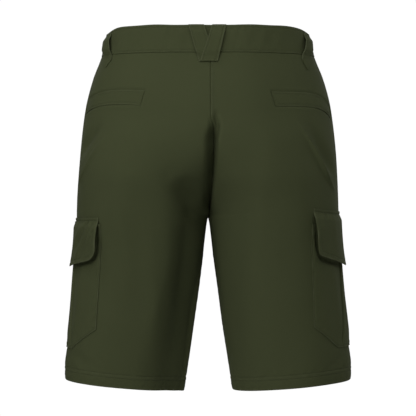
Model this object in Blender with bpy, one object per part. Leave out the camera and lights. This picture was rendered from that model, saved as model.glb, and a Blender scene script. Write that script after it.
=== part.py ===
"""Cargo shorts, filled out as if worn: the cut and sewn pieces as thin closed walls.

The frame's origin is the centre of the waist opening, half-way up the waistband. +Z is up, the
front faces -Y, and the wearer's left is +X. Every piece lies on one body form, which is a stack
of ovals: around the hips the ovals of the two legs run into each other at the centre plane, and
below the crotch each leg has its own. A place on the form is given by its height on the side
line and by its reach, the distance round the oval from that side line, plus towards the back.
"""

import math
from functools import lru_cache
from typing import Callable, NamedTuple

import bmesh
import bpy
import numpy as np
from mathutils import Vector

MM = 0.001

# Walls, in millimetres like every size below
PANEL_WALL = 1.6
BAND_WALL = 2.4
BAND_OUT = 0.6
PATCH_WALL = 1.4
LOOP_WALL = 1.4
SEAM_GAP = 0.3
LAY_GAP = 0.5
WIDE_LAY_GAP = 1.0

# Heights on the side line
WAIST_EDGE = 16.8
BAND_SEAM = -20.5
CROTCH = -245.0
HEM_EDGE = -501.5
HEM_TURN = 20.0
HEM_LIP = 2.0

# Cargo pockets and their flaps
POCKET_TOP = -268.0
POCKET_BOTTOM = -451.0
POCKET_TOP_HALF_WIDTH = 98.0
POCKET_TAPER = 6.0
POCKET_CLIP_ACROSS = 44.0
POCKET_CLIP_UP = 28.0
PLEAT_HALF_WIDTH = 18.0
PLEAT_FLARE = 16.0
PLEAT_RAISE = 1.6
PLEAT_STEP = 3.0
FLAP_HALF_WIDTH = 99.0
FLAP_TAPER = 8.0
FLAP_BAND = 12.0
FLAP_SLOPE = 11.0
FLAP_ROUND = 8.0
FLAP_LIFT = 4.2

# Back pocket welts
WELT_TOP = -77.0
WELT_BOTTOM = -98.5
WELT_OUTER_REACH = 30.0
WELT_INNER_X = 93.0
WELT_SLANT = 7.0
WELT_DROOP = 7.0

# Belt loops
LOOP_BOTTOM = -34.5
LOOP_TOP_DROP = 5.0
LOOP_CORNER = -28.0
LOOP_POINT = 9.0
LOOP_WIDTH = 25.0
LOOP_ARCH = 2.0
SIDE_LOOP_TOP_REACH = 34.0
SIDE_LOOP_BOTTOM_REACH = 53.0
FRONT_LOOP_X = 92.0

# Fly and button
LAP = 20.0
FLY_SHIELD_BACK = -8.0
FLY_SHIELD_WIDTH = 40.0
FLY_SHIELD_TOP = -22.5
FLY_SHIELD_BOTTOM = -155.0
FLY_SHIELD_NARROWING = 0.35
BUTTON_RADIUS = 8.5
BUTTON_THICKNESS = 3.2
BUTTON_RIM = 1.0
BUTTON_DISH = 0.9
BUTTON_EDGE = 1.2
BUTTON_HOLE_RADIUS = 1.1
BUTTON_HOLE_SPREAD = 2.4
BUTTON_X = -8.0

CLOTH_OLIVE = (0.047, 0.055, 0.026, 1.0)
CLOTH_OLIVE_DEEP = (0.038, 0.045, 0.021, 1.0)
BUTTON_OLIVE = (0.030, 0.034, 0.018, 1.0)


class Ring(NamedTuple):
    """One oval of the wearer's left half, deepest at its middle."""

    name: str
    height: float  # of the side line
    back_rise: float  # how much higher than the side line the back lies
    front_rise: float
    tilt: float  # how far the oval's plane rises for each millimetre towards the side line
    outer: float  # x of the side line
    middle: float  # x of the deepest place, front and back
    inner: float  # x of the inner end, half the gap between the legs
    back: float  # how far behind the side line the back lies, along y
    front: float
    back_cleft: float  # the part of the back's depth that is lost at the centre seam
    front_cleft: float
    square: float  # 2 is an ellipse, more is squarer
    seam_shift: float  # how far the centre-back seam lies to the wearer's right


RINGS = (
    #                                             x:                   depth:        cleft:
    #    name       height  rise: b, f  tilt   outer  middle inner back   front  back   front  square shift
    Ring("waist",    16.8,   2.2,  -6.8, 0.0,   148.5, 0.0,   0.0,  101.5, 100.0, 0.0,   0.0,   2.50, 4.0),
    Ring("band seam", -20.5, -0.3, -5.5, 0.0,   159.2, 0.0,   0.0,  106.0, 104.0, 0.0,   0.0,   2.35, 4.0),
    Ring("high hip", -54.0,  -0.5, -4.0, 0.0,   172.0, 0.0,   0.0,  116.0, 110.0, 0.0,   0.0,   2.25, 4.0),
    Ring("hip",      -102.0, -1.0, -2.0, 0.0,   184.0, 0.0,   0.0,  128.0, 116.0, 0.0,   0.0,   2.20, 4.0),
    Ring("seat",     -150.0, -1.0, -1.0, 0.015, 190.2, 45.0,  0.0,  135.0, 118.0, 0.03,  0.005, 2.15, 0.0),
    Ring("low seat", -190.0, -1.0, -1.0, 0.045, 193.2, 78.0,  0.0,  132.0, 117.0, 0.22,  0.13,  2.15, 0.0),
    Ring("thigh",    -226.0, -0.5, -0.5, 0.070, 195.4, 94.0,  0.0,  122.5, 112.0, 0.55,  0.47,  2.12, 0.0),
    Ring("fork",     -238.0, 0.0,  0.0,  0.080, 195.9, 97.0,  0.0,  119.6, 110.6, 0.72,  0.67,  2.10, 0.0),
    Ring("crotch",   -245.0, 0.0,  0.0,  0.083, 196.1, 98.5,  0.3,  117.9, 109.8, 1.0,   1.0,   2.10, 0.0),
    Ring("gap",      -252.0, 0.0,  0.0,  0.085, 196.3, 99.7,  3.2,  116.2, 109.0, 1.0,   1.0,   2.10, 0.0),
    Ring("mid leg",  -300.0, 0.0,  0.0,  0.085, 196.8, 102.2, 7.6,  106.0, 102.0, 1.0,   1.0,   2.10, 0.0),
    Ring("low leg",  -366.0, 0.0,  0.0,  0.085, 201.0, 108.5, 16.0, 97.0,  94.0,  1.0,   1.0,   2.10, 0.0),
    Ring("knee",     -438.0, 0.0,  0.0,  0.086, 208.6, 117.5, 26.4, 90.0,  87.0,  1.0,   1.0,   2.10, 0.0),
    Ring("hem top",  -481.0, 0.0,  0.0,  0.087, 214.4, 123.9, 33.4, 86.0,  84.0,  1.0,   1.0,   2.10, 0.0),
    Ring("hem",      -501.5, 0.0,  0.0,  0.087, 213.9, 125.2, 36.6, 84.0,  82.0,  1.0,   1.0,   2.10, 0.0),
)


class Crease(NamedTuple):
    """A soft trough, or a ridge where its depth is negative, along a straight line on the form."""

    name: str
    side: int  # 1 the wearer's left, -1 the right, 0 both
    from_height: float
    from_reach: float
    to_height: float
    to_reach: float
    depth: float
    half_width: float


CREASES = (
    #      name               side  from height, reach   to height, reach   depth  half-width
    Crease("inner left thigh", 1,   -196.0,      212.0,  -248.0,    262.0,   4.0,   14.0),
    Crease("left hip ridge",   1,   -132.0,      104.0,  -196.0,    20.0,   -3.0,   13.0),
    Crease("right hip ridge", -1,   -112.0,      122.0,  -218.0,    46.0,   -3.0,   13.0),
    Crease("front hip break",  0,   -150.0,     -150.0,  -215.0,   -60.0,    3.5,   18.0),
)

CLEFT_TOP = -104.0
CLEFT_DEPTH = 7.0
CLEFT_HALF_WIDTH = 11.0
CLEFT_START = 60.0
CLEFT_END = 35.0
SEAM_STIFFNESS = 22.0


def slopes_of(places: np.ndarray, values: np.ndarray) -> np.ndarray:
    """Slopes of a smooth curve through the values that never swings past one of them."""
    gaps = np.diff(places)
    rises = np.diff(values) / gaps
    slopes = np.zeros_like(values)
    for index in range(1, len(values) - 1):
        before = rises[index - 1]
        after = rises[index]
        if before * after > 0:
            near = 2 * gaps[index] + gaps[index - 1]
            far = gaps[index] + 2 * gaps[index - 1]
            slopes[index] = (near + far) / (near / before + far / after)
    slopes[0] = rises[0]
    slopes[-1] = rises[-1]
    return slopes


RING_PLACES = np.array([-ring.height for ring in RINGS])
RING_VALUES = {
    field: np.array([getattr(ring, field) for ring in RINGS])
    for field in Ring._fields
    if field not in ("name", "height")
}
RING_SLOPES = {field: slopes_of(RING_PLACES, values) for field, values in RING_VALUES.items()}


def column(field: str, height: float) -> float:
    """The ring table's value of one column at any height."""
    place = min(max(-height, RING_PLACES[0]), RING_PLACES[-1])
    index = min(int(np.searchsorted(RING_PLACES, place, side="right")) - 1, len(RINGS) - 2)
    index = max(index, 0)
    gap = RING_PLACES[index + 1] - RING_PLACES[index]
    part = (place - RING_PLACES[index]) / gap
    values = RING_VALUES[field]
    slopes = RING_SLOPES[field]
    value = (
        (1 + 2 * part) * (1 - part) ** 2 * values[index]
        + part * (1 - part) ** 2 * gap * slopes[index]
        + part**2 * (3 - 2 * part) * values[index + 1]
        + part**2 * (part - 1) * gap * slopes[index + 1]
    )
    # past the last ring the form goes straight on
    return float(value + (-height - place) * slopes[-1 if -height > place else 0])


def smooth(value: float, start: float, end: float) -> float:
    """0 before the start, 1 after the end, and a soft S between."""
    part = min(max((value - start) / (end - start), 0.0), 1.0)
    return part * part * (3 - 2 * part)


ARC_STEPS = 160


@lru_cache(maxsize=4096)
def arc(height: float, back: bool) -> tuple[np.ndarray, np.ndarray]:
    """Points of the left half's oval from the side line to its inner end, and their reaches."""
    face = "back" if back else "front"
    depth = column(face, height)
    middle = column("middle", height)
    square = column("square", height)
    lost = min(max(column(face + "_cleft", height), 0.0), 1.0)
    # the inner half-oval would end beyond the centre plane, where the other leg cuts it off
    cut = (1 - (1 - lost) ** square) ** (1 / square)
    outer_half = column("outer", height) - middle
    inner_half = (middle - column("inner", height)) / max(cut, 1e-6)
    power = 2 / square
    last = math.pi / 2 + math.asin(min(cut, 1.0) ** (1 / power))
    turns = np.linspace(0.0, last, ARC_STEPS)
    cosines = np.cos(turns)
    sines = np.sin(turns)
    halves = np.where(cosines > 0, outer_half, -inner_half)
    x = middle + halves * np.abs(cosines) ** power
    y = depth * sines**power
    end_rise = column(face + "_rise", height)
    z = height + sines**2 * end_rise + column("tilt", height) * (x - column("outer", height))
    points = np.stack([x, y if back else -y, z], axis=1)
    reaches = np.concatenate([[0.0], np.cumsum(np.linalg.norm(np.diff(points, axis=0), axis=1))])
    return points, reaches


def end_reach(height: float, back: bool) -> float:
    """The distance round the oval from the side line to the centre seam or the inseam."""
    return float(arc(height, back)[1][-1])


def on_arc(height: float, reach: float) -> np.ndarray:
    """A point of the smooth form; a reach past the centre seam goes on along the other half."""
    back = reach >= 0
    points, reaches = arc(height, back)
    distance = abs(reach)
    over = distance > reaches[-1]
    if over:
        distance = 2 * reaches[-1] - distance
    point = np.array([np.interp(distance, reaches, points[:, axis]) for axis in range(3)])
    if over:
        point[0] = -point[0]
    return point


STEP = 0.5


def outward(height: float, reach: float) -> np.ndarray:
    """The form's unit normal, taken on one side of a centre seam only."""
    limit = end_reach(height, reach >= 0)
    low = reach - STEP
    high = reach + STEP
    if abs(reach) <= limit:
        low = max(low, -limit)
        high = min(high, limit)
    along = on_arc(height, high) - on_arc(height, low)
    # up along the cloth: at the same share of the way to the seam, which the form's change moves
    share = reach / limit
    above = on_arc(height + STEP, share * end_reach(height + STEP, reach >= 0))
    below = on_arc(height - STEP, share * end_reach(height - STEP, reach >= 0))
    normal = np.cross(along, above - below)
    return normal / np.linalg.norm(normal)


def fold_depth(side: int, height: float, reach: float) -> float:
    """How far the main folds draw the cloth in at this place."""
    limit = end_reach(height, reach >= 0)
    if abs(reach) > limit:
        side = -side
        reach = math.copysign(2 * limit - abs(reach), reach)
    depth = 0.0
    for crease in CREASES:
        if crease.side not in (0, side):
            continue
        run = np.array([crease.to_height - crease.from_height, crease.to_reach - crease.from_reach])
        away = np.array([height - crease.from_height, reach - crease.from_reach])
        part = min(max(float(away @ run / (run @ run)), 0.0), 1.0)
        distance = float(np.linalg.norm(away - part * run))
        taper = math.sin(math.pi * (0.08 + 0.84 * part))
        depth += crease.depth * taper * math.exp(-((distance / crease.half_width) ** 2))
    return depth * smooth(limit - abs(reach), 0.0, SEAM_STIFFNESS)


def cleft_depth(height: float, reach: float) -> float:
    """How far the centre-back seam draws the seat in, straight towards the front."""
    from_seam = end_reach(height, True) - reach
    fade = smooth(-height, -CLEFT_TOP, -CLEFT_TOP + CLEFT_START)
    fade *= smooth(height, CROTCH, CROTCH + CLEFT_END)
    return CLEFT_DEPTH * fade * math.exp(-((from_seam / CLEFT_HALF_WIDTH) ** 2))


def on_body(side: int, height: float, reach: float, out: float = 0.0) -> np.ndarray:
    """A point of one half of the garment in metres, moved out from the panels' outer face."""
    depth = fold_depth(side, height, reach)
    point = on_arc(height, reach) + outward(height, reach) * (out - depth)
    if reach > 0:
        point[1] -= cleft_depth(height, reach)
    point[0] *= side
    return point * MM


def remove_everything() -> None:
    """Clears the startup objects."""
    for thing in list(bpy.data.objects):
        bpy.data.objects.remove(thing)


def cloth(name: str, colour: tuple, roughness: float = 0.8) -> bpy.types.Material:
    """A plain matte material with the cloth's colour."""
    material = bpy.data.materials.new(name)
    material.use_nodes = True
    shader = material.node_tree.nodes["Principled BSDF"]
    shader.inputs["Base Color"].default_value = colour
    shader.inputs["Roughness"].default_value = roughness
    shader.inputs["Metallic"].default_value = 0.0
    material.diffuse_color = colour
    return material


class Spot(NamedTuple):
    """A place on the garment, moved out from the panels' outer face."""

    height: float
    reach: float
    out: float = 0.0


def sheet(
    name: str,
    colour: tuple,
    side: int,
    across: list[float],
    down: list[float],
    place: Callable[[float, float], Spot],
    wall: float,
) -> bpy.types.Object:
    """A cloth piece: a grid laid on one half of the body, extruded inwards into a wall.

    The stops across run towards the back and those down run from the top edge.
    """
    columns = len(across) - 1
    rows = len(down) - 1
    form = bmesh.new()
    grid = bmesh.ops.create_grid(form, x_segments=columns, y_segments=rows, size=1.0)
    outside = set(grid["verts"])
    bmesh.ops.extrude_face_region(form, geom=form.faces[:])
    for corner in form.verts:
        column_index = round((corner.co.x + 1) / 2 * columns)
        row_index = round((1 - corner.co.y) / 2 * rows)
        spot = place(across[column_index], down[row_index])
        inwards = 0.0 if corner in outside else wall
        corner.co = on_body(side, spot.height, spot.reach, spot.out - inwards)
    bmesh.ops.recalc_face_normals(form, faces=form.faces)
    if form.calc_volume(signed=True) < 0:
        bmesh.ops.reverse_faces(form, faces=form.faces)
    mesh = bpy.data.meshes.new(name)
    form.to_mesh(mesh)
    form.free()
    mesh.shade_smooth()
    mesh.set_sharp_from_angle(angle=math.radians(50))
    piece = bpy.data.objects.new(name, mesh)
    bpy.context.collection.objects.link(piece)
    mesh.materials.append(cloth(name + "_cloth", colour))
    return piece


def spread(start: float, end: float, count: int) -> list[float]:
    """Evenly spaced stops, both ends included."""
    return [float(stop) for stop in np.linspace(start, end, count + 1)]


def side_name(side: int) -> str:
    """The wearer's side as a word."""
    return "left" if side > 0 else "right"


PANEL_ROWS = (
    spread(BAND_SEAM - SEAM_GAP, -110.0, 3)
    + spread(-110.0, -220.0, 5)[1:]
    + [-232.0, -240.0, CROTCH, -248.5]
    + spread(-254.0, HEM_EDGE, 8)
)
OUTER_COLUMNS = 8
INNER_COLUMNS = 6


def pivot_reach(height: float, back: bool) -> float:
    """The reach of the leg's middle, where a panel's even outer columns end."""
    points, reaches = arc(height, back)
    pivot = max(column("outer", height) / 2, column("middle", height))
    # x falls along the arc, and interpolation wants it rising
    return float(np.interp(-pivot, -points[:, 0], reaches))


def make_panel(side: int, back: bool) -> None:
    """One leg's back or front, from the band seam down to the hem edge."""

    def place(stop: float, height: float) -> Spot:
        shift = column("seam_shift", height) * side if back else 0.0
        first = SEAM_GAP / 2
        last = end_reach(height, back) + shift - SEAM_GAP / 2
        pivot = pivot_reach(height, back)
        size = abs(stop)
        # the inner columns alone take up the seam's run under the crotch
        if size <= 1:
            reach = first + size * (pivot - first)
        else:
            reach = pivot + (size - 1) * (last - pivot)
        return Spot(height, reach if back else -reach)

    stops = spread(0.0, 1.0, OUTER_COLUMNS) + spread(1.0, 2.0, INNER_COLUMNS)[1:]
    if not back:
        stops = [-stop for stop in reversed(stops)]
    name = f"{'back' if back else 'front'}_panel_{side_name(side)}"
    sheet(name, CLOTH_OLIVE, side, stops, PANEL_ROWS, place, PANEL_WALL)


def make_hem(side: int) -> None:
    """The turned-up hem: a strip inside the leg end, whose ends meet at the inseam."""

    def place(share: float, height: float) -> Spot:
        front = end_reach(height, False) - SEAM_GAP / 2
        back = end_reach(height, True) - SEAM_GAP / 2
        return Spot(height, -front + share * (front + back), -(PANEL_WALL + WIDE_LAY_GAP))

    # the strip's wall leans with the leg, so its edge stays a little above the panels' own
    heights = [HEM_EDGE + HEM_TURN, HEM_EDGE + HEM_LIP]
    name = f"hem_turn_up_{side_name(side)}"
    sheet(name, CLOTH_OLIVE_DEEP, side, spread(0.0, 1.0, 30), heights, place, PATCH_WALL)


BAND_HEIGHTS = spread(WAIST_EDGE, BAND_SEAM, 2)


def make_back_waistband() -> None:
    """The waistband's back, in one length from side seam to side seam."""

    def place(share: float, height: float) -> Spot:
        last = 2 * end_reach(height, True) - SEAM_GAP / 2
        return Spot(height, SEAM_GAP / 2 + share * (last - SEAM_GAP / 2), BAND_OUT)

    shares = spread(0.0, 1.0, 28)
    sheet("waistband_back", CLOTH_OLIVE, 1, shares, BAND_HEIGHTS, place, BAND_WALL)


def make_front_waistband(side: int) -> None:
    """One front end of the waistband; the left end laps over the right one at the button."""
    under = side < 0
    side_seam = end_reach(BAND_SEAM, False)

    def place(from_centre: float, height: float) -> Spot:
        seam_stop = from_centre == side_seam
        reach = SEAM_GAP / 2 if seam_stop else end_reach(height, False) - from_centre
        tuck = (BAND_WALL + LAY_GAP) * (1 - smooth(from_centre, LAP + 1, LAP + 20)) if under else 0.0
        return Spot(height, -reach, BAND_OUT - tuck)

    stops = [-LAP, -LAP / 2, 0.0, LAP / 2, LAP, LAP + 10, LAP + 20] + spread(56.0, side_seam, 7)
    name = f"waistband_front_{side_name(side)}"
    sheet(name, CLOTH_OLIVE, side, stops, BAND_HEIGHTS, place, BAND_WALL)


class Cargo(NamedTuple):
    """Where one leg's cargo pocket sits; its middle lies a little behind the side line."""

    side: int
    centre: float
    flap_top: float
    flap_length: float


CARGOS = (
    #     side centre flap top, length
    Cargo(1,   4.0,   -258.0,   72.0),
    Cargo(-1,  14.0,  -251.5,   77.5),
)


def pleat_edge(height: float) -> float:
    """How far from the pocket's middle its box pleat folds; it opens towards the bottom."""
    below = POCKET_TOP - height
    return PLEAT_HALF_WIDTH + PLEAT_FLARE * smooth(below, 120.0, POCKET_TOP - POCKET_BOTTOM)


def make_cargo_pocket(cargo: Cargo) -> None:
    """The cargo pocket: a patch on the panels with clipped lower corners and a box pleat."""

    def place(stop: float, height: float) -> Spot:
        clip = POCKET_CLIP_ACROSS * max(1 - (height - POCKET_BOTTOM) / POCKET_CLIP_UP, 0.0)
        down = (POCKET_TOP - height) / (POCKET_TOP - POCKET_BOTTOM)
        half = POCKET_TOP_HALF_WIDTH - POCKET_TAPER * down - clip
        fold = pleat_edge(height)
        size = abs(stop)
        # the stops up to 1 lie on the pleat, 1 to 2 are its folded step and the rest runs flat
        if size <= 1:
            away = size * (fold - PLEAT_STEP)
        elif size <= 2:
            away = fold - PLEAT_STEP + (size - 1) * PLEAT_STEP
        else:
            away = fold + (size - 2) * (half - fold)
        below = POCKET_TOP - height
        raised = PLEAT_RAISE * smooth(below, 25.0, 90.0) * (1 - smooth(below, 140.0, 184.0))
        raised *= min(max(2 - size, 0.0), 1.0)
        out = WIDE_LAY_GAP + PATCH_WALL + raised
        return Spot(height, cargo.centre + math.copysign(away, stop), out)

    half_stops = [0.5, 1.0, 2.0, 2.25, 2.5, 2.75, 3.0]
    stops = [-stop for stop in half_stops[::-1]] + [0.0] + half_stops
    heights = spread(POCKET_TOP, POCKET_BOTTOM + POCKET_CLIP_UP, 4)
    heights += spread(POCKET_BOTTOM + POCKET_CLIP_UP, POCKET_BOTTOM, 3)[1:]
    name = f"cargo_pocket_{side_name(cargo.side)}"
    sheet(name, CLOTH_OLIVE, cargo.side, stops, heights, place, PATCH_WALL)


def make_cargo_flap(cargo: Cargo) -> None:
    """The cargo flap: sewn down along its top, it falls over the pocket and stands off below."""

    def place(share: float, down: float) -> Spot:
        size = abs(share)
        length = cargo.flap_length - FLAP_SLOPE * size**1.5 - FLAP_ROUND * size**10
        half = FLAP_HALF_WIDTH - FLAP_TAPER * down
        over_pocket = smooth(down * cargo.flap_length, 0.0, FLAP_BAND)
        out = LAY_GAP + PATCH_WALL + over_pocket * (PATCH_WALL + WIDE_LAY_GAP)
        height = cargo.flap_top - length * down
        return Spot(height, cargo.centre + share * half, out + FLAP_LIFT * down**2)

    name = f"cargo_flap_{side_name(cargo.side)}"
    drops = [0.0, 0.08, 0.16, 0.44, 0.72, 1.0]
    shares = spread(-1.0, 1.0, 12)
    sheet(name, CLOTH_OLIVE, cargo.side, shares, drops, place, PATCH_WALL)


def make_back_welt(side: int) -> None:
    """The long welt of a back pocket, with a slanted inner end and a drooping outer one."""

    def place(share: float, height: float) -> Spot:
        down = (WELT_TOP - height) / (WELT_TOP - WELT_BOTTOM)
        inner = end_reach(height, True) - WELT_INNER_X - WELT_SLANT * down
        reach = WELT_OUTER_REACH + share * (inner - WELT_OUTER_REACH)
        return Spot(height - WELT_DROOP * (1 - share) ** 2, reach, LAY_GAP + PATCH_WALL)

    name = f"back_welt_{side_name(side)}"
    heights = [WELT_TOP, WELT_BOTTOM]
    sheet(name, CLOTH_OLIVE, side, spread(0.0, 1.0, 10), heights, place, PATCH_WALL)


class Strip(NamedTuple):
    """One strip of the crossed loop, by the x of its edges; the under strip lies on the band."""

    name: str
    top_from: float
    top_to: float
    bottom_from: float
    bottom_to: float
    over: bool


BACK_STRIPS = (
    #     name                    top from, to    bottom from, to   over
    Strip("back_loop_under_strip", 4.8,     27.5, -12.5,       13.0, False),
    Strip("back_loop_over_strip", -26.6,    -4.1, -14.0,       11.5, True),
)


def make_back_strip(strip: Strip) -> None:
    """A strip of the V loop, sewn down at both ends and standing off the band between them."""

    def place(share: float, down: float) -> Spot:
        height = WAIST_EDGE + down * (LOOP_BOTTOM - WAIST_EDGE)
        start = strip.top_from + down * (strip.bottom_from - strip.top_from)
        end = strip.top_to + down * (strip.bottom_to - strip.top_to)
        stack = (LOOP_WALL + LAY_GAP) * smooth(down, 0.02, 0.24) if strip.over else 0.0
        out = BAND_OUT + LAY_GAP + LOOP_WALL + stack + LOOP_ARCH * math.sin(math.pi * down)
        return Spot(height, end_reach(height, True) - end - share * (start - end), out)

    stops = [0.0, 0.12, 0.24, 0.4, 0.55, 0.7, 0.85, 1.0]
    sheet(strip.name, CLOTH_OLIVE, 1, spread(0.0, 1.0, 3), stops, place, LOOP_WALL)


class Loop(NamedTuple):
    """A plain belt loop with a pointed lower end, by the reach of its middle."""

    name: str
    side: int
    top_reach: float
    bottom_reach: float


def belt_loops() -> list[Loop]:
    """The side loops, which lean forward at the top, and the upright front loops."""
    loops = []
    front = FRONT_LOOP_X - end_reach(BAND_SEAM, False)
    for side in (1, -1):
        word = side_name(side)
        loops.append(Loop(f"side_loop_{word}", side, SIDE_LOOP_TOP_REACH, SIDE_LOOP_BOTTOM_REACH))
        loops.append(Loop(f"front_loop_{word}", side, front, front))
    return loops


def make_loop(loop: Loop) -> None:
    """A belt loop from the waist edge to just below the band seam."""

    def place(share: float, down: float) -> Spot:
        point = LOOP_POINT * (1 - abs(share)) * smooth(down, 0.6, 1.0)
        top = WAIST_EDGE - LOOP_TOP_DROP
        height = top + down * (LOOP_CORNER - top) - point
        middle = loop.top_reach + down * (loop.bottom_reach - loop.top_reach)
        out = BAND_OUT + LAY_GAP + LOOP_WALL + LOOP_ARCH * math.sin(math.pi * down)
        return Spot(height, middle + share * LOOP_WIDTH / 2, out)

    stops = spread(0.0, 1.0, 6)
    sheet(loop.name, CLOTH_OLIVE, loop.side, [-1.0, 0.0, 1.0], stops, place, LOOP_WALL)


def make_fly_shield() -> None:
    """The strip behind the fly opening, under both fronts."""

    def place(share: float, down: float) -> Spot:
        height = FLY_SHIELD_TOP + down * (FLY_SHIELD_BOTTOM - FLY_SHIELD_TOP)
        width = FLY_SHIELD_WIDTH * (1 - FLY_SHIELD_NARROWING * smooth(down, 0.7, 1.0))
        from_centre = FLY_SHIELD_BACK + share * width
        return Spot(height, from_centre - end_reach(height, False), -(PANEL_WALL + WIDE_LAY_GAP))

    shares = spread(0.0, 1.0, 5)
    drops = spread(0.0, 1.0, 6)
    sheet("fly_shield", CLOTH_OLIVE_DEEP, 1, shares, drops, place, PATCH_WALL)


def make_button() -> None:
    """A four-hole button with a raised rim, flat against the lapped waistband end."""
    height = (WAIST_EDGE + BAND_SEAM) / 2
    reach = -(end_reach(height, False) - BUTTON_X)
    seat = on_body(1, height, reach, BAND_OUT + LAY_GAP)
    normal = outward(height, reach)

    outline = bmesh.new()
    half = BUTTON_THICKNESS / 2
    profile = [
        (0.0, -half),
        (BUTTON_RADIUS - BUTTON_EDGE, -half),
        (BUTTON_RADIUS, -half + BUTTON_EDGE),
        (BUTTON_RADIUS - 0.3, half - 0.2),
        (BUTTON_RADIUS - BUTTON_RIM, half),
        (BUTTON_RADIUS - 2 * BUTTON_RIM, half - BUTTON_DISH),
        (0.0, half - BUTTON_DISH),
    ]
    corners = [outline.verts.new((radius * MM, 0.0, z * MM)) for radius, z in profile]
    edges = [outline.edges.new(pair) for pair in zip(corners, corners[1:])]
    bmesh.ops.spin(
        outline, geom=corners + edges, cent=(0, 0, 0), axis=(0, 0, 1), angle=math.tau, steps=18,
        use_merge=True,
    )
    bmesh.ops.remove_doubles(outline, verts=outline.verts, dist=1e-6)
    bmesh.ops.recalc_face_normals(outline, faces=outline.faces)
    mesh = bpy.data.meshes.new("waist_button")
    outline.to_mesh(mesh)
    outline.free()
    button = bpy.data.objects.new("waist_button", mesh)
    bpy.context.collection.objects.link(button)
    mesh.materials.append(cloth("waist_button_plastic", BUTTON_OLIVE, roughness=0.35))
    middle = seat + normal * half * MM
    button.location = Vector(middle)
    button.rotation_euler = Vector(normal).to_track_quat("Z", "Y").to_euler()

    for number in range(4):
        turn = math.tau * (number + 0.5) / 4
        bpy.ops.mesh.primitive_cylinder_add(
            vertices=6, radius=BUTTON_HOLE_RADIUS * MM, depth=4 * BUTTON_THICKNESS * MM
        )
        hole = bpy.context.object
        hole.name = f"button_hole_cutter_{number}"
        hole.parent = button
        spread_out = BUTTON_HOLE_SPREAD * MM
        hole.location = (spread_out * math.cos(turn), spread_out * math.sin(turn), 0.0)
        hole.hide_render = True
        hole.display_type = "WIRE"
        cut = button.modifiers.new(f"Hole {number}", "BOOLEAN")
        cut.operation = "DIFFERENCE"
        cut.object = hole


def main() -> None:
    """Builds every piece."""
    remove_everything()
    for side in (1, -1):
        make_panel(side, True)
        make_panel(side, False)
        make_hem(side)
        make_back_welt(side)
        make_front_waistband(side)
    for cargo in CARGOS:
        make_cargo_pocket(cargo)
        make_cargo_flap(cargo)
    make_back_waistband()
    for strip in BACK_STRIPS:
        make_back_strip(strip)
    for loop in belt_loops():
        make_loop(loop)
    make_fly_shield()
    make_button()


if __name__ == "__main__":
    main()
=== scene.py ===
"""Cargo shorts in olive twill, filled out as if worn: cloth, folds, seams, stitches and button.

Lengths are in millimetres until a point is placed, and every finished mesh is in metres. +Z is
up, the front faces -Y and the wearer's left is +X. The cloth lies on a form of stacked ovals. A
place on it is a height on the side line and a reach, the distance round the oval from that line,
plus towards the back. Each piece also has its own flat cut: a runs across it and b down it.
"""

import logging
import math
from dataclasses import dataclass, field
from enum import Enum
from typing import Callable, ClassVar

import bpy
import numpy as np
from mathutils import Matrix, Vector

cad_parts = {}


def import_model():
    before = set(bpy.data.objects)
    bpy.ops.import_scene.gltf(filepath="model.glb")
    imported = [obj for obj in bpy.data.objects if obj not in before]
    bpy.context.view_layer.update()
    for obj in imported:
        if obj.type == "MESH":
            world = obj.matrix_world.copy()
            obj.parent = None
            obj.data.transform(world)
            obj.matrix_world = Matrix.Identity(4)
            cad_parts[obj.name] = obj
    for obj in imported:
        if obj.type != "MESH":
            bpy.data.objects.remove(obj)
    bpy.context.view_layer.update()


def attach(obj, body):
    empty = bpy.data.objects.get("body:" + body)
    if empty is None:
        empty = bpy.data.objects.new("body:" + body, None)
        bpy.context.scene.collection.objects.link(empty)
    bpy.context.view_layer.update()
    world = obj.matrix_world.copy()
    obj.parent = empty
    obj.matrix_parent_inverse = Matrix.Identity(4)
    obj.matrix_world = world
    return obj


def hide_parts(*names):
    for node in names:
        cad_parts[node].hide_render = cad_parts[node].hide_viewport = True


Array = np.ndarray
Places = tuple[Array, Array, Array]
Span = tuple[float, float]
Thing = bpy.types.Object
MM = 0.001
BODY = "root"
log = logging.getLogger("cargo_shorts")


# ---- numbers on arrays


def smooth(value: Array, start: float, end: float) -> Array:
    """A soft step, 0 up to the start and 1 from the end on."""
    part = np.clip((value - start) / (end - start), 0.0, 1.0)
    return part * part * (3 - 2 * part)


def bump(value: Array, middle: float, half_width: float) -> Array:
    """A bell of height 1, which falls to about a third at the half width."""
    return np.exp(-(((value - middle) / half_width) ** 2))


def spread(start: float, end: float, step: float) -> Array:
    """Even stops no further apart than the step, both ends included."""
    return np.linspace(start, end, max(int(math.ceil(abs(end - start) / step)), 1) + 1)


def graded(start: float, end: float, step: float, lines: tuple, fine: float, reach: float) -> Array:
    """Stops that crowd together around some lines.

    Args:
        start: The first stop.
        end: The last stop, above the first.
        step: The usual distance between stops.
        lines: Where the stops are finest.
        fine: The distance between stops on a line.
        reach: How far from a line the stops have widened to the usual distance.

    Returns:
        The stops, in order.
    """
    samples = np.linspace(start, end, 4001)
    nearest = np.min([np.abs(samples - line) for line in lines], axis=0)
    width = fine + (step - fine) * np.clip(nearest / reach, 0.0, 1.0)
    count = np.concatenate([[0.0], np.cumsum(np.diff(samples) / ((width[1:] + width[:-1]) / 2))])
    return np.interp(np.linspace(0.0, count[-1], int(math.ceil(count[-1])) + 1), count, samples)


def remap(value: Array, knots: list, places: list) -> Array:
    """Piecewise straight stretching whose target knots may differ from point to point.

    Args:
        value: Values between the first and last knot.
        knots: Rising numbers.
        places: For each knot, where it goes: a number or an array shaped like value.

    Returns:
        The stretched values.
    """
    result = np.zeros_like(value)
    for low, high, start, end in zip(knots, knots[1:], places, places[1:]):
        inside = (value >= low) & (value <= high)
        result = np.where(inside, start + (value - low) / (high - low) * (end - start), result)
    return result


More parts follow.
